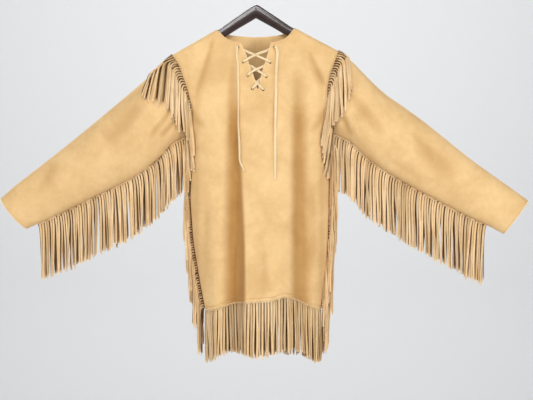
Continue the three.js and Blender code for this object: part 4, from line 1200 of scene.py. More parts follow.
def tube_point(values, height, reach):
    """Point of a sleeve's section, by its height from -1 to 1 and its reach from the middle."""
    top_x, top_z, low_x, low_z, y, depth = values
    share = 0.5 + height / 2
    x, z = low_x + (top_x - low_x) * share, low_z + (top_z - low_z) * share
    return np.stack(np.broadcast_arrays(x, y + reach * depth, z), axis=-1)


def sleeve_creases(side, face, x, z):
    """Creases of a sleeve, where the face says whether a point lies on the front."""
    front, back = (creases(SLEEVE_CREASES[side, way], x, z) for way in (FRONT, BACK))
    return np.where(face == FRONT, front, back)


def sleeve_places(side, along, around, fine=True):
    """Points of a sleeve's outer face, millimetres: a row for each place along it."""
    sections = SLEEVES[side]
    table = [(i, *row) for i, row in enumerate(sections)]
    values = [curve(table, along, 0, k)[:, None] for k in range(1, 7)]
    height, width = np.cos(around), np.abs(np.sin(around))
    face = np.where(around <= math.pi, FRONT, BACK)

    edge = LEFT_EDGE if side == "left" else RIGHT_EDGE
    tip, under = edge[0][0], UNDERARM[side]
    seam_z = tip + (under - tip) * (1 - height) / 2
    seam_x = curve(edge, seam_z)
    drop = straight(SHOULDER_LINE, seam_x) - seam_z
    seam_y = np.maximum(armhole_depth(drop, tip, under, seam_z), SEAM_DEPTH) * (width > 1e-6)
    seam = np.stack([seam_x, face * seam_y, seam_z], axis=-1)
    shift = seam - tube_point(sections[0], height, face * width)
    keep = curve(ARMHOLE_SHARE, along)[:, None, None]
    points = tube_point(values, height, face * width) + shift * keep
    out = -1 if side == "left" else 1
    points += np.array([out * INTO_SLEEVE[0], 0, INTO_SLEEVE[1]]) * SLEEVE_GAP
    if not fine:
        return points

    x, z = points[..., 0], points[..., 2]
    waves = 1.15 * hand_waves(x, z, 8 if side == "left" else 9, 1.0)
    from_seam = np.minimum(along / 0.35, 1)[:, None]
    points[..., 1] += face * (sleeve_creases(side, face, x, z) + waves) * width * from_seam
    from_cuff = (along[:, None] - CUFF) * LAST_SECTION
    groove = 0.8 * np.exp(-(((from_cuff + CUFF_GROOVE) / 1.6) ** 2))
    points[..., 1] -= face * groove * width
    if side == "left":
        # The left cuff's front bulges outward.
        bulge = 9.0 * ease((along - 9.2) / 1.8)[:, None] * width * (face == FRONT)
        points[..., 0] -= bulge * 0.66
        points[..., 2] -= bulge * 0.62
    return points


class SHIRT_OT_sleeves(bpy.types.Operator):
    """Both sleeves, from the armhole seam to the open cuff"""

    bl_idname = "shirt.build_sleeves"
    bl_label = "Sleeves"

    def execute(self, context):
        skin = context.scene.shirt_skin
        face = np.where(AROUND <= math.pi, FRONT, BACK)
        for side in ("left", "right"):
            places = sleeve_places(side, ALONG, AROUND)
            rows, columns = places.shape[:2]
            points = places.reshape(-1, 3) * MM
            ids = np.arange(rows * columns).reshape(rows, columns)
            after = np.roll(ids, -1, axis=1)
            quads = np.stack([ids[:-1], after[:-1], after[1:], ids[1:]], axis=-1).reshape(-1, 4)
            middle = np.repeat(places.mean(axis=1) * MM, columns, axis=0)
            if np.sum(point_normals(points, quads) * (points - middle)) < 0:
                quads = quads[:, ::-1]
            piece = add_skin(f"sleeve_{side}_skin", points, quads, skin.thickness, buckskin())
            # Painted shade along the sleeve's creases, and a painted shadow under the armhole
            # fringe's loops.
            depth = -sleeve_creases(side, face, places[..., 0], places[..., 2]) / 6
            shadow_under_loops = 0.75 * np.exp(-((ALONG / 0.5) ** 2))[:, None]
            painted_shade = np.clip(np.clip(depth, 0, 0.6) + shadow_under_loops, 0, 1)
            cut = np.repeat(np.where(ALONG == CUFF, 0.8, 0.0), columns)
            paint(piece, "painted_shade", np.tile(painted_shade.reshape(-1), 2))
            paint(piece, "cut_edge", np.tile(cut, 2))
            smooth(piece)
            finish_piece(piece, "buckskin", f"sleeve_{side}")
        return {"FINISHED"}


# ---- fringes


def strand_tree():
    """Geometry Nodes: a flat strand of skin along every line of the piece."""
    name = "Cut Strands"
    if name in bpy.data.node_groups:
        return bpy.data.node_groups[name]
    tree, given, result = new_group(
        name, "GeometryNodeTree",
        [("Lines", "Geometry", None), ("Width", "Float", 0.0056),
         ("Thickness", "Float", 0.0019), ("Unevenness", "Float", 0.12), ("Steps", "Int", 18),
         ("Seed", "Int", 0), ("Skin", "Material", None)],
        [("Strands", "Geometry")],
    )

    def stored(label, kind):
        return add_node(
            tree, "GeometryNodeInputNamedAttribute", {"Name": label}, data_type=kind
        ).outputs[0]

    lines = add_node(tree, "GeometryNodeMeshToCurve", {"Mesh": given["Lines"]})
    even = add_node(
        tree, "GeometryNodeResampleCurve", {"Curve": lines.outputs[0], "Count": given["Steps"]}
    )
    turned = add_node(
        tree, "GeometryNodeSetCurveNormal",
        {"Curve": even.outputs[0], "Normal": stored("flat_side", "FLOAT_VECTOR")}, mode="FREE",
    )
    chance = add_node(
        tree, "FunctionNodeRandomValue",
        {2: calculate(tree, "SUBTRACT", 1.0, given["Unevenness"]),
         3: calculate(tree, "ADD", 1.0, given["Unevenness"]),
         "ID": stored("strand", "INT"), "Seed": given["Seed"]},
        data_type="FLOAT",
    )
    size = calculate(tree, "MULTIPLY", chance.outputs[1], stored("taper", "FLOAT"))
    strip = add_node(
        tree, "GeometryNodeCurvePrimitiveQuadrilateral",
        {"Width": given["Thickness"], "Height": given["Width"]},
    )
    section = add_node(
        tree, "GeometryNodeFilletCurve",
        {"Curve": strip.outputs[0], "Radius": 0.0006, "Count": 1}, mode="POLY",
    )
    solid = add_node(
        tree, "GeometryNodeCurveToMesh",
        {"Curve": turned.outputs[0], "Profile Curve": section.outputs[0], "Scale": size,
         "Fill Caps": True},
    )
    shaded = add_node(tree, "GeometryNodeSetShadeSmooth", {"Geometry": solid.outputs[0]})
    real = add_node(tree, "GeometryNodeRealizeInstances", {"Geometry": shaded.outputs[0]})
    skin = add_node(
        tree, "GeometryNodeSetMaterial", {"Geometry": real.outputs[0], "Material": given["Skin"]}
    )
    tree.links.new(skin.outputs[0], result[0])
    return tree


def set_inputs(modifier, tree, **values):
    """Sets a modifier's inputs by their sockets' identifiers."""
    for item in tree.interface.items_tree:
        if item.item_type == "SOCKET" and item.in_out == "INPUT" and item.name in values:
            modifier[item.identifier] = values[item.name]


def grow(piece, tree, **values):
    """Runs a node tree on a piece, then keeps the result as a plain mesh."""
    modifier = piece.modifiers.new(tree.name, "NODES")
    modifier.node_group = tree
    set_inputs(modifier, tree, **values)
    keep_result(piece)


def sweep_strands(name, strands, taper, seed, steps):
    """One piece of skin strands, from their paths in millimetres.

    Each strand gives its path, the way its flat side faces along it, and its painted shade at
    its root and at its tip, from 0 to 1. The taper gives shares of a strand's length
    and how wide it is there.
    """
    fringe = bpy.context.scene.shirt_fringe
    paths, flats, shades = zip(*strands)
    number, count = len(paths), len(paths[0])
    edges = [(s * count + i, s * count + i + 1) for s in range(number) for i in range(count - 1)]
    piece = add_mesh(name, np.concatenate(paths) * MM, [], fringe_skin(), edges)
    sides = piece.data.attributes.new("flat_side", "FLOAT_VECTOR", "POINT")
    sides.data.foreach_set("vector", np.concatenate(flats).astype(np.float32).reshape(-1))
    numbers = piece.data.attributes.new("strand", "INT", "POINT")
    numbers.data.foreach_set("value", np.repeat(np.arange(number), count).astype(np.int32))
    paint(piece, "taper", np.tile(np.interp(np.linspace(0, 1, count), *taper), number))
    grow(
        piece, strand_tree(), Width=fringe.width, Thickness=fringe.thickness,
        Steps=steps, Seed=seed, Skin=fringe_skin(),
    )
    for old in ("flat_side", "strand", "taper"):
        layer = piece.data.attributes.get(old)
        if layer:
            piece.data.attributes.remove(layer)

    corners = len(piece.data.vertices) // (number * steps)
    along = np.tile(np.repeat(np.linspace(0, 1, steps), corners), number)
    rng = np.random.default_rng(seed + 100)
    # A few strands are darker at random; a painted shade is added near each root.
    a_few_darker = 0.34 * rng.random((number, 1)) ** 2.2
    ends = np.array(shades, float) + a_few_darker
    first, last = (np.repeat(ends[:, k], corners * steps) for k in (0, 1))
    root_shade = 0.2 * np.exp(-along * 24)
    paint(piece, "painted_shade", first + (last - first) * along + root_shade)
    paint(piece, "cut_edge", 0.55 * (along > 0.985))
    return piece


def turned_sides(path, flat, angle):
    """The ways that a strand's flat side faces along its path, turned about it."""
    down = unit(np.gradient(path, axis=0))
    across = unit(np.cross(down, flat))
    angle = angle[:, None]
    return np.cross(across, down) * np.cos(angle) + across * np.sin(angle)


def hanging_strand(root, first, length, aside, rng, flat, twist, quick=16):
    """Smooth path from a root, out along its first way, then down; with its flat sides.

    A quick strand bends down at once. Aside is how far its tip swings in x and y.
    """
    root, first, flat = (np.asarray(v, float) for v in (root, first, flat))
    swing = rng.uniform(-1, 1, 4)
    t = np.array([0, 0.035, 0.09, 0.2, 0.38, 0.6, 0.8, 1.0])
    out = (1 - np.exp(-t * quick))[:, None] * first
    slack = 0.015 * np.linalg.norm(first) / 6 * (1 - t)
    bow = np.stack([
        aside[0] * ease(t) + 1.6 * swing[0] * np.sin(t * 5 + swing[1] * 3) * t,
        aside[1] * ease(t) + 1.8 * swing[2] * np.sin(t * 4 + swing[3] * 3) * t,
        -length * np.clip(t - slack, 0, 1),
    ], axis=1)
    path = centripetal(root + out + bow, 14)
    share = np.linspace(0, 1, len(path))
    angle = twist * ease(share * 1.4) + 0.25 * swing[1] * np.sin(share * 6)
    return path, turned_sides(path, flat, angle)


def clumps(rng, count, every):
    """Lean that neighbouring strands share, from -1 to 1, for each strand of a row."""
    knots = np.arange(0, count + every, every)
    return np.interp(np.arange(count), knots, rng.uniform(-1, 1, len(knots)))


def strip_band(line, down, flat, deep, tone=0.12):
    """Narrow band of skin that the strands are cut from, darkened by a painted shade where it
    shows between them.
    """
    half = flat * BAND_THICKNESS / 2
    low = line + down * deep
    rings = np.stack([line + half, low + half, low - half, line - half], axis=1)
    band = add_tube("band", rings * MM, fringe_skin())
    # Painted shade: the band's tone darkens it to the shade between the strands.
    paint(band, "painted_shade", np.full(len(rings) * 4, tone))
    paint(band, "cut_edge", np.zeros(len(rings) * 4))
    return band


def sew_fringe(name, node, strands, taper, seed, band, steps=18):
    """Hands over a fringe: its strands and the band that they are cut from."""
    piece = sweep_strands(name, strands, taper, seed, steps)
    with bpy.context.temp_override(active_object=piece, selected_editable_objects=[piece, band]):
        bpy.ops.object.join()
    finish_piece(piece, "fringe", node)


BAND_THICKNESS = 1.8

# Hanging length of the hem fringe by x, and of the sleeve fringe by section.
HEM_LENGTHS = (
    (-137, 138), (-109, 134), (-73, 130), (-27, 144), (-8, 152), (22, 151), (65, 144),
    (86, 144), (113, 138), (140, 142), (160, 145), (175, 138),
)
SLEEVE_LENGTHS = (
    (0.8, 132), (1.4, 136), (3.0, 140), (5.0, 148), (7.5, 152), (9.0, 150), (10.2, 146),
)

# Strands that hang behind others: their painted shade at the root and the tip, and how much
# shorter they are.
BEHIND_SHADE = (1.0, 0.7)
BEHIND_SHORTER = 5


class SHIRT_OT_hem_fringe(bpy.types.Operator):
    """Fringe along the hem, front and back"""

    bl_idname = "shirt.build_hem_fringe"
    bl_label = "Hem Fringe"

    taper = ([0, 0.9, 1], [1.06, 1, 0.8])
    # How far the strands in front and behind stand out of the hem.
    out_front, out_behind = 1.2, -4.5
    # Where the folds' painted shade is read for the strands below them.
    shade_z = -640.0

    def execute(self, context):
        count = context.scene.shirt_fringe.hem_strands
        for face, node, seed in ((FRONT, "front", 41), (BACK, "back", 42)):
            rng = np.random.default_rng(seed)
            x, z, _, _ = panel_places(face)
            x, z = x[-1], z[-1]
            normal = body_normal(face, x, z + 3)
            normal[0], normal[-1] = (-0.8, 0.6 * face, 0), (0.8, 0.6 * face, 0)
            normal[:, 2] = 0
            normal = unit(normal)
            line = np.stack([x, face * skin_depth(face, x, z), z], axis=1) - normal
            reach = reach_along(line)
            lean = clumps(rng, count, 4)
            strands = []
            for k in range(2 * count):
                behind, i = divmod(k, count)
                at = (i + 0.5 + 0.12 * rng.uniform(-1, 1) + 0.5 * behind) / count * reach[-1]
                flat = spot(at, reach, normal)
                root = spot(at, reach, line) + (0, 0, -1.8)
                length = straight(HEM_LENGTHS, root[0]) + rng.uniform(-5.5, 3.5)
                length -= BEHIND_SHORTER * behind
                aside = (3.4 * lean[i] + rng.uniform(-2.2, 2.2), rng.uniform(-2.5, 2.5))
                path, sides = hanging_strand(
                    root, flat * (self.out_behind if behind else self.out_front), length, aside,
                    rng, flat, rng.uniform(-1.0, 1.0),
                )
                tone = float(fold_painted_shade(face, root[:1], np.array([self.shade_z]))[0])
                # Painted shade: strands behind are dark, front strands below a trough carry its
                # shade.
                shade = BEHIND_SHADE if behind else (0.05 + 0.2 * tone, 0.12 * tone)
                strands.append((path, sides, shade))
            band = strip_band(line + (0, 0, -0.3), np.array([0, 0, -1.0]), normal, 4.2)
            sew_fringe(
                f"hem_fringe_{node}", f"fringe_hem_{node}", strands, self.taper, 51 + face, band
            )
        return {"FINISHED"}


class SHIRT_OT_sleeve_fringe(bpy.types.Operator):
    """Fringe along the underside seam of both sleeves"""

    bl_idname = "shirt.build_sleeve_fringe"
    bl_label = "Sleeve Fringe"

    taper = ([0, 0.9, 1], [1.0, 0.96, 0.78])
    # For each row: how far back it hangs, how much that varies, and its painted shade.
    rows = ((-3.0, 2.6, (0.05, 0.0)), (4.0, 1.5, BEHIND_SHADE), (9.5, 1.5, (0.1, 0.0)))

    def execute(self, context):
        count = context.scene.shirt_fringe.sleeve_strands
        for side, seed, last in (("left", 61, 10.06), ("right", 62, 9.86)):
            rng = np.random.default_rng(seed)
            stops = np.linspace(0.4, last, 90)
            line = sleeve_places(side, stops, np.array([math.pi]), fine=False)[:, 0]
            along = unit(np.gradient(line, axis=0))
            down = unit(np.stack([along[:, 2], 0 * along[:, 0], -along[:, 0]], axis=1))
            down *= np.where(down[:, 2:] > 0, -1, 1)
            flat = np.cross(along, down)
            flat *= np.where(flat[:, 1:2] > 0, -1, 1)
            reach = reach_along(line)
            lean = clumps(rng, count, 5)
            strands = []
            for k in range(len(self.rows) * count):
                row, i = divmod(k, count)
                lane, vary, shade = self.rows[row]
                at = (i + 0.5 + 0.14 * rng.uniform(-1, 1) + 0.45 * (row == 1)) / count * reach[-1]
                way = spot(at, reach, down)
                root = spot(at, reach, line) + way * 1.2 + (0, 0.8 * rng.uniform(-1, 1), 0)
                length = straight(SLEEVE_LENGTHS, np.interp(at, reach, stops))
                length += rng.uniform(-6.5, 3.5) - BEHIND_SHORTER * (row > 0)
                lane = lane + rng.uniform(-1, 1) * vary
                way = way * (13 + 3 * rng.uniform(-1, 1)) + (0, lane, 0)
                stray = 9 * rng.uniform(-1, 1) if i % 6 == 2 else 0
                aside = (4.2 * lean[i] + rng.uniform(-3.4, 3.4) + stray, rng.uniform(-2, 2))
                path, sides = hanging_strand(
                    root, way, length, aside, rng, spot(at, reach, flat),
                    rng.uniform(-1.2, 1.2), quick=11,
                )
                strands.append((path, sides, shade))
            sew_fringe(
                f"sleeve_fringe_{side}", f"fringe_sleeve_{side}", strands, self.taper,
                71 + len(side), strip_band(line - down, down, flat, 5.5),
            )
        return {"FINISHED"}


class SHIRT_OT_side_fringe(bpy.types.Operator):
    """Fringe down both side seams"""

    bl_idname = "shirt.build_side_fringe"
    bl_label = "Side Fringe"

    taper = ([0, 0.1, 0.2, 0.9, 1], [0.62, 0.66, 0.95, 0.95, 0.78])
    # How far back a strand lies, by its turn in each row, and how far its tip comes forward.
    right_front_lanes = (-13, -3, -7, -10, -5)
    back_lanes = ((4, 6, 8, 5), (11, 15, 13, 17))
    forward = (0, -5, 3, -8, -2)
    # Painted shade of the strands, by their turn of three.
    strand_shades = ((0.2, 0.15), (0, 0), (0.08, 0))

    def lane_and_swing(self, side, row, i, rng):
        """How far back a strand loops out of the seam, and how far out."""
        if row:
            lane = self.back_lanes[row - 1][i % 4] + rng.uniform(-1.5, 1.5)
            return lane, 3 + 11 * rng.random()
        if side == "left":
            return -5.5 + rng.uniform(-0.8, 0.8), 11 + 3 * rng.random()
        lane = self.right_front_lanes[i % 5] + rng.uniform(-2, 2)
        return lane, 3 + 19 * rng.random()

    def execute(self, context):
        count = context.scene.shirt_fringe.side_strands
        for side, edge, sign, seed in (("left", LEFT_EDGE, -1, 81), ("right", RIGHT_EDGE, 1, 82)):
            rng = np.random.default_rng(seed)
            top, low = UNDERARM[side] - 12, edge[-1][0] + 3
            strands = []
            for k in range(3 * count):
                row, i = divmod(k, count)
                z = top + (low - top) * (i + 0.5 + 0.04 * rng.uniform(-1, 1)) / count
                x = float(curve(edge, z))
                lane, swing = self.lane_and_swing(side, row, i, rng)
                inset = side == "right" and not row
                root = (x - 3.5, -3.0, z) if inset else (x + sign, 0.0, z)
                drift = -sign * max(0.0, (x - float(curve(edge, z - 120))) * sign) * 0.25
                wander = 4.5 * math.sin(i * 0.55) + rng.uniform(-3, 3)
                depth = 0.25 * lane + self.forward[i % 5] * 0.7 + rng.uniform(-2, 2)
                path, sides = hanging_strand(
                    root, (sign * swing, lane * 0.9, 3.5), 130 + rng.uniform(-13, 8),
                    (drift + wander, depth), rng, (0.2 * sign, -1, 0), rng.uniform(-1.4, 1.4),
                )
                # Painted shade: the row just behind is dark, the others take theirs by turn.
                shade = (0.9, 0.5) if row == 1 else self.strand_shades[i % 3]
                strands.append((path, sides, shade))
            z = np.linspace(top, low, 60)
            x = curve(edge, z) - sign * 0.8
            line = np.stack([x, 0 * x, z], axis=1)
            out, flat = np.array([float(sign), 0, 0]), np.array([0, -1.0, 0])
            sew_fringe(
                f"side_fringe_{side}", f"fringe_side_{side}", strands, self.taper, 91 + sign,
                strip_band(line, out, flat, 6.0, 1.0),
            )
        return {"FINISHED"}


def sleeve_faces(side):
    """Look-up of a sleeve's depth at x and z, one for the front and one for the back."""
    trees = {}
    turns = np.linspace(0, 2 * math.pi, 72, endpoint=False)
    places = sleeve_places(side, np.linspace(0, 8, 100), turns)
    for face in (FRONT, BACK):
        pick = places[:, turns <= math.pi] if face == FRONT else places[:, turns > math.pi]
        rows = pick.reshape(-1, 3)
        tree = KDTree(len(rows))
        for i, (x, _, z) in enumerate(rows):
            tree.insert((x, 0, z), i)
        tree.balance()
        trees[face] = (tree, rows)
    return trees


def clear_depth(trees, face, x, z):
    """Depth that lies outside both the body and the sleeve at x and z."""
    reach = 0.0
    left, right = float(curve(LEFT_EDGE, z)), float(curve(RIGHT_EDGE, z))
    if left < x < right and z < float(straight(SHOULDER_LINE, x)):
        reach = max(reach, float(body_depth(face, x, z)))
    tree, rows = trees[face]
    _, index, gap = tree.find((x, 0, z))
    if gap < 7:
        reach = max(reach, face * rows[index][1])
    return reach


# How a strand loops out of the armhole seam: out from it and up, in mm.
LOOP = ((4.5, 2.0), (9.0, 2.2), (12.6, -0.6), (14.6, -6.0), (15.4, -14.0))
LOOP_WIDTH = 15.4
# Shares of the rest of a strand's length where its path is set.
HANG = (0.1, 0.22, 0.36, 0.5, 0.64, 0.76, 0.88, 1.0)
# How much further out a strand lies, by how far its root is below the
# shoulder's tip, in mm.
SWEPT_STRANDS = {
    "left": ((0, 54), (5, 42), (10, 31), (14, 25), (17, 10), (26, 5), (60, 0)),
    "right": ((0, 16), (14, 13), (30, 7), (60, 0)),
}


class SHIRT_OT_armhole_fringe(bpy.types.Operator):
    """Fringe that loops out of both armhole seams"""

    bl_idname = "shirt.build_armhole_fringe"
    bl_label = "Armhole Fringe"

    taper = ([0, 0.08, 0.18, 0.9, 1], [0.9, 0.74, 1.0, 1.0, 0.85])
    path_points = 20
    # How far in the lowest strands lean over the front.
    lean_in = {"left": 9, "right": 22}
    turns = np.concatenate([
        np.linspace(-0.92 * math.pi, -0.02, 60), np.linspace(0.02, 0.92 * math.pi, 60)
    ])

    def seam(self, side):
        """Line of the strands' roots, and the ways out of the skin and along the sleeve."""
        around = self.turns % (2 * math.pi)
        near = sleeve_places(side, np.array([0.06]), around, fine=False)[0]
        wide = sleeve_places(side, np.array([0.26]), around, fine=False)[0]
        ends = sleeve_places(side, np.array([0.0]), np.array([0, math.pi]), fine=False)[0]
        out = near - ends.mean(axis=0)
        out[:, 0] = 0
        out[:, 2] *= 0.5
        out = unit(out)
        return near + out * 1.7, out, wide - near

    def course(self, arch, rise_share, swept, length):
        """Places of a strand from its root: out from the seam and up."""
        course = [
            (over * arch, rise * rise_share - 0.4 * swept * over / LOOP_WIDTH)
            for over, rise in LOOP
        ]
        over, rise = course[-1]
        return course + [(over, rise - drop * (length - 24)) for drop in HANG]

    def execute(self, context):
        count = context.scene.shirt_fringe.armhole_strands
        for side, sign, seed in (("left", -1, 101), ("right", 1, 102)):
            rng = np.random.default_rng(seed)
            trees = sleeve_faces(side)
            line, out, ways = self.seam(side)
            reach = reach_along(line)
            tip = line[len(line) // 2 - 1, 2]
            sleeve = sorted((row[0], row[1]) for row in SLEEVES[side])
            strands = []
            for k in range(2 * count):
                under, i = divmod(k, count)
                at = (i + 0.5 + 0.06 * rng.uniform(-1, 1) + 0.5 * under) / count * reach[-1]
                root, away = spot(at, reach, line), spot(at, reach, out)
                face = FRONT if float(np.interp(at, reach, self.turns)) >= -0.12 else BACK
                below = tip - root[2]
                low = float(ease((below - 60) / 70))
                top = float(np.interp(below, [0, 25], [1, 0]))
                swept = float(straight(SWEPT_STRANDS[side], below))
                arch = (rng.uniform(14, 16.5) * (1 - 0.72 * low) + 0.5 * swept) / LOOP_WIDTH
                length = 140 + rng.uniform(-14, 4) - 14 * top - 7 * under
                inward = 2 if face == BACK else self.lean_in[side]
                spread = sign * (rng.uniform(-2, 5) - inward * low)
                lane = 0.2 if under else 3.0 + 2.2 * (i % 3) + rng.uniform(0, 1)
                points = [root]
                deepest = face * (root + away * 2.0)[1]
                for over, rise in self.course(arch, 1 - top, swept, length):
                    turn = max(-rise, 0) / length
                    x = root[0] + sign * (over + 0.6 * swept * turn) + spread * turn
                    x += 2.0 * math.sin(turn * 5 + i) * turn
                    z = min(root[2] + rise, float(straight(sleeve, x)) - 1.0 + 4.5 * top)
                    lift = 2.4 + lane * float(ease(turn / 0.25))
                    deepest = max(deepest - 5.0, clear_depth(trees, face, x, z) + lift)
                    points.append(np.array([x, face * deepest, z]))
                path = centripetal(points, self.path_points)
                flat = np.array([0.1 * sign, float(face), 0.45])
                angle = rng.uniform(-0.6, 0.6) * ease(np.linspace(-0.3, 1.3, len(path)))
                # Painted shade: the under row is dark between the strands above it, and the low
                # strands are darker.
                strand_shades = ((0.1 + 0.25 * low, 0.2 * low), (0, 0), (0.05, 0))
                shade = (0.95, 0.8) if under else strand_shades[i % 3]
                strands.append((path, turned_sides(path, flat, angle), shade))
            deep = float(np.linalg.norm(ways, axis=1).mean())
            sew_fringe(
                f"armhole_fringe_{side}", f"fringe_armhole_{side}", strands, self.taper,
                111 + sign, strip_band(line, unit(ways), out, deep, 0.8), steps=26,
            )
        return {"FINISHED"}


# ---- eyelets, hanger and stitches


def lathe(name, profile, place, normal, material, turns=28):
    """Closed ring of a profile, (radius, height) in millimetres, turned about a normal."""
    basis = np.array(Vector(normal).to_track_quat("Z", "Y").to_matrix())
    rows = []
    for i in range(turns):
        angle = 2 * math.pi * i / turns
        rows.append([(r * math.cos(angle), r * math.sin(angle), h) for r, h in profile])
    points = np.array(rows).reshape(-1, 3) @ basis.T + np.asarray(place)
    size = len(profile)
    faces = []
    for i in range(turns):
        for k in range(size):
            a, b = i * size, (i + 1) % turns * size
            faces.append((a + k, b + k, b + (k + 1) % size, a + (k + 1) % size))
    piece = add_mesh(name, points * MM, faces, material)
    outward(piece)
    smooth(piece, 40)
    return piece


class SHIRT_OT_eyelets(bpy.types.Operator):
    """Eight small metal eyelets that the lace runs through"""

    bl_idname = "shirt.build_eyelets"
    bl_label = "Eyelets"

    def execute(self, context):
        radius = context.scene.shirt_fittings.eyelet_radius / MM
        metal = plain_material("Eyelet Metal", (0.075, 0.078, 0.090), 0.30, 1.0, spread=0.3)
        bore = radius * 0.55
        profile = [
            (bore, -2.6), (bore, 0.45), (bore + 0.25, 0.85), (bore + 0.7, 1.0),
            (radius - 0.25, 0.80), (radius, 0.45), (radius - 0.05, 0.2), (bore + 0.45, 0.2),
            (bore + 0.45, -2.0), (radius - 0.5, -2.15), (radius - 0.4, -2.45),
            (bore + 0.5, -2.75),
        ]
        for node, (x, z) in EYELETS.items():
            place, normal = body_point(FRONT, x, z, 0.05), body_normal(FRONT, x, z)
            ring = lathe(f"{node}_ring", profile, place, normal, metal)
            finish_piece(ring, "eyelet_metal", node)
        return {"FINISHED"}


class SHIRT_OT_hanger(bpy.types.Operator):
    """Dark varnished wooden hanger and the pin at its peak"""

    bl_idname = "shirt.build_hanger"
    bl_label = "Hanger"

    def execute(self, context):
        wood = plain_material(
            "Varnished Wood", context.scene.shirt_fittings.wood, 0.34,
            scale=46.0, stretch=(0.32, 1.0, 1.0), bump=0.12, coat=0.55, spread=0.55,
        )
        # Sections lie closer at both ends and at the peak.
        stops = np.unique(np.concatenate([
            np.linspace(0, 2, 17), np.linspace(2, 5, 13), np.linspace(5, 7, 33),
            np.linspace(7, 10, 13), np.linspace(10, 12, 17),
        ]))
        top_x, top_z, low_x, low_z, thick = (
            np.interp(stops, np.arange(len(HANGER)), column)[:, None] for column in zip(*HANGER)
        )
        from_peak = stops[:, None] - len(HANGER) // 2
        top_z = top_z - 2.6 * np.exp(-((from_peak / 0.09) ** 2))
        around = np.linspace(0, 2 * math.pi, 32, endpoint=False)
        up, out = np.cos(around), np.sin(around)
        up = np.sign(up) * np.abs(up) ** 0.55
        out = np.sign(out) * np.abs(out) ** 0.62
        share = 0.5 + up / 2
        lip = 1 - 0.10 * np.exp(-(((up - 0.62) / 0.12) ** 2))
        rings = np.stack(
            [low_x + (top_x - low_x) * share, thick / 2 * out * lip,
             low_z + (top_z - low_z) * share],
            axis=-1,
        )
        piece = add_tube("hanger_form", rings * MM, wood)
        smooth(piece, 40)
        finish_piece(piece, "hanger_wood", "hanger")

        steel = plain_material("Pin Steel", (0.16, 0.155, 0.15), 0.36, 1.0, spread=0.2)
        profile = [(0.02, 0.0), (2.1, 0.0), (2.3, 0.4), (2.25, 1.2), (1.6, 1.9), (0.02, 2.2)]
        pin = lathe("pin_head", profile, (0, -10.3, 0), (0, -1, 0), steel)
        finish_piece(pin, "pin_metal", "hanger_pin")
        return {"FINISHED"}


def stitch_tree():
    """Geometry Nodes: short thread stitches laid end to end along every line of the piece."""
    name = "Sewn Stitches"
    if name in bpy.data.node_groups:
        return bpy.data.node_groups[name]
    tree, given, result = new_group(
        name, "GeometryNodeTree",
        [("Lines", "Geometry", None), ("Pitch", "Float", 0.0048),
         ("Stitch Length", "Float", 0.0034), ("Thread Radius", "Float", 0.00045),
         ("Thread", "Material", None)],
        [("Stitches", "Geometry")],
    )
    lines = add_node(tree, "GeometryNodeMeshToCurve", {"Mesh": given["Lines"]})
    spots = add_node(
        tree, "GeometryNodeCurveToPoints",
        {"Curve": lines.outputs[0], "Length": given["Pitch"]}, mode="LENGTH",
    )
    half = calculate(tree, "MULTIPLY", given["Stitch Length"], 0.5)
    back = calculate(tree, "MULTIPLY", half, -1.0)
    start = add_node(tree, "ShaderNodeCombineXYZ", {"Z": back})
    end = add_node(tree, "ShaderNodeCombineXYZ", {"Z": half})
    thread = add_node(
        tree, "GeometryNodeCurvePrimitiveLine", {"Start": start.outputs[0], "End": end.outputs[0]},
    )
    ring = add_node(
        tree, "GeometryNodeCurvePrimitiveCircle",
        {"Resolution": 6, "Radius": given["Thread Radius"]},
    )
    stitch = add_node(
        tree, "GeometryNodeCurveToMesh",
        {"Curve": thread.outputs[0], "Profile Curve": ring.outputs["Curve"], "Fill Caps": True},
    )
    laid = add_node(
        tree, "GeometryNodeInstanceOnPoints",
        {"Points": spots.outputs["Points"], "Instance": stitch.outputs[0],
         "Rotation": spots.outputs["Rotation"]},
    )
    real = add_node(tree, "GeometryNodeRealizeInstances", {"Geometry": laid.outputs[0]})
    dyed = add_node(
        tree, "GeometryNodeSetMaterial", {"Geometry": real.outputs[0], "Material": given["Thread"]}
    )
    tree.links.new(dyed.outputs[0], result[0])
    return tree


# How far the stitches stand over the skin, in mm.
STITCH_LIFT = 0.12
# The lacing takes the front's neck seam up to this x, in mm.
LACED_X = 47


def seam_lines():
    """The stitched lines in millimetres: neck, hem, armholes and cuffs, front and back."""
    lines = []
    for face in (FRONT, BACK):
        x, z, _, open_top = panel_places(face)
        sewn = open_top & (np.abs(x[0]) > (LACED_X if face == FRONT else 0))
        for part in (x[0] < 0, x[0] > 0):
            pick = sewn & part
            lines.append(body_point(face, x[0, pick], z[0, pick] - NECK_SEAM, STITCH_LIFT))
        lines.append(body_point(face, x[-1, 2:-2], z[-1, 2:-2] + HEM_SEAM, STITCH_LIFT))
        for edge, sign, side in ((LEFT_EDGE, 1, "left"), (RIGHT_EDGE, -1, "right")):
            down = np.linspace(edge[0][0] - 12, UNDERARM[side] + 12, 60)
            across = curve(edge, down) + sign * ARMHOLE_SEAM
            lines.append(body_point(face, across, down, STITCH_LIFT))
    for side in ("left", "right"):
        for turns in (np.linspace(0.12, 3.02, 60), np.linspace(3.26, 6.16, 60)):
            row = sleeve_places(side, np.array([10.91]), turns)[0]
            out = row - row.mean(axis=0)
            out[:, 0] = 0
            out[:, 2] *= 0.3
            lines.append(row + 0.15 * unit(out))
    return lines


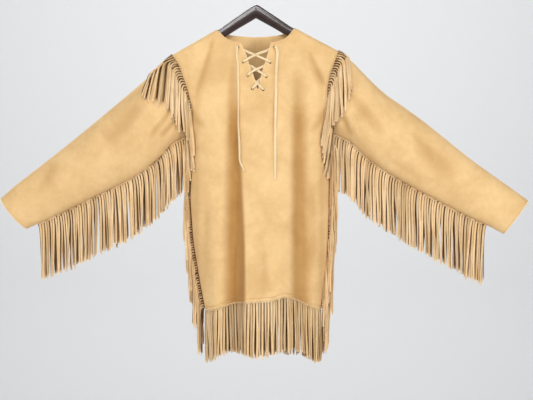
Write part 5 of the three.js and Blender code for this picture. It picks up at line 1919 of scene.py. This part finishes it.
class SHIRT_OT_stitches(bpy.types.Operator):
    """Thread stitches along the neck, hem, armholes and cuffs"""

    bl_idname = "shirt.build_stitches"
    bl_label = "Stitches"

    def execute(self, context):
        fittings = context.scene.shirt_fittings
        thread = plain_material("Waxed Thread", fittings.thread, 0.6, spread=0.2)
        points, edges = [], []
        for line in seam_lines():
            start = len(points)
            points += [tuple(p * MM) for p in line]
            edges += [(start + i, start + i + 1) for i in range(len(line) - 1)]
        piece = add_mesh("seam_stitches", points, [], thread, edges)
        grow(
            piece, stitch_tree(), **{"Stitch Length": fittings.stitch_length},
            Pitch=fittings.stitch_length * 1.4, Thread=thread,
        )
        finish_piece(piece, "thong")
        return {"FINISHED"}


def flat_cut(grid):
    """Width, length and area of a grid of points laid flat, in metres."""
    width = np.linalg.norm(np.diff(grid, axis=1), axis=2).sum(axis=1).max() * MM
    length = np.linalg.norm(np.diff(grid, axis=0), axis=2).sum(axis=0).max() * MM
    long_way, short_way = grid[1:, 1:] - grid[:-1, :-1], grid[:-1, 1:] - grid[1:, :-1]
    area = 0.5 * np.linalg.norm(np.cross(long_way, short_way), axis=2).sum() * MM**2
    return (round(width, 3), round(length, 3)), round(min(area, width * length), 4)


class SHIRT_OT_cut(bpy.types.Operator):
    """Works out how large each skin was when cut flat, before it was sewn and hung; nothing is
    kept.
    """

    bl_idname = "shirt.state_the_cut"
    bl_label = "State the Cut"

    def execute(self, context):
        for face, name, trim in (
            (FRONT, "front_panel",
             ["hem_fringe_front", "side_fringe_left", "side_fringe_right", "laced_thong",
              *(f"{node}_ring" for node in EYELETS)]),
            (BACK, "back_panel", ["hem_fringe_back"]),
        ):
            x, z, _, _ = panel_places(face)
            flat, area = flat_cut(np.stack([x, face * skin_depth(face, x, z), z], axis=-1))
        for side in ("left", "right"):
            tube = sleeve_places(side, ALONG, np.append(AROUND, 2 * math.pi - 1e-6))
            flat, area = flat_cut(tube)
        return {"FINISHED"}


# ---- panel and run


OPERATORS = (
    SHIRT_OT_stage, SHIRT_OT_lace, SHIRT_OT_body, SHIRT_OT_sleeves, SHIRT_OT_hem_fringe,
    SHIRT_OT_sleeve_fringe, SHIRT_OT_side_fringe, SHIRT_OT_armhole_fringe,
    SHIRT_OT_eyelets, SHIRT_OT_hanger, SHIRT_OT_stitches, SHIRT_OT_cut,
)


class SHIRT_PT_panel(bpy.types.Panel):
    """Lists the steps that build the shirt"""

    bl_idname = "SHIRT_PT_panel"
    bl_label = "Fringed Shirt"
    bl_space_type = "VIEW_3D"
    bl_region_type = "UI"
    bl_category = "Shirt"

    def draw(self, context):
        layout = self.layout
        for name, kind in SETTINGS.items():
            box = layout.box()
            box.label(text=kind.__doc__)
            for key in kind.__annotations__:
                box.prop(getattr(context.scene, name), key)
        for operator in OPERATORS:
            layout.operator(operator.bl_idname)


def register():
    for kind in (*SETTINGS.values(), *OPERATORS, SHIRT_PT_panel):
        bpy.utils.register_class(kind)
    for name, kind in SETTINGS.items():
        setattr(bpy.types.Scene, name, PointerProperty(type=kind))


def unregister():
    for name in SETTINGS:
        delattr(bpy.types.Scene, name)
    for kind in (SHIRT_PT_panel, *reversed(OPERATORS), *SETTINGS.values()):
        bpy.utils.unregister_class(kind)


def main():
    register()
    for operator in OPERATORS:
        group, action = operator.bl_idname.split(".")
        getattr(getattr(bpy.ops, group), action)()


if __name__ == "__main__":
    main()
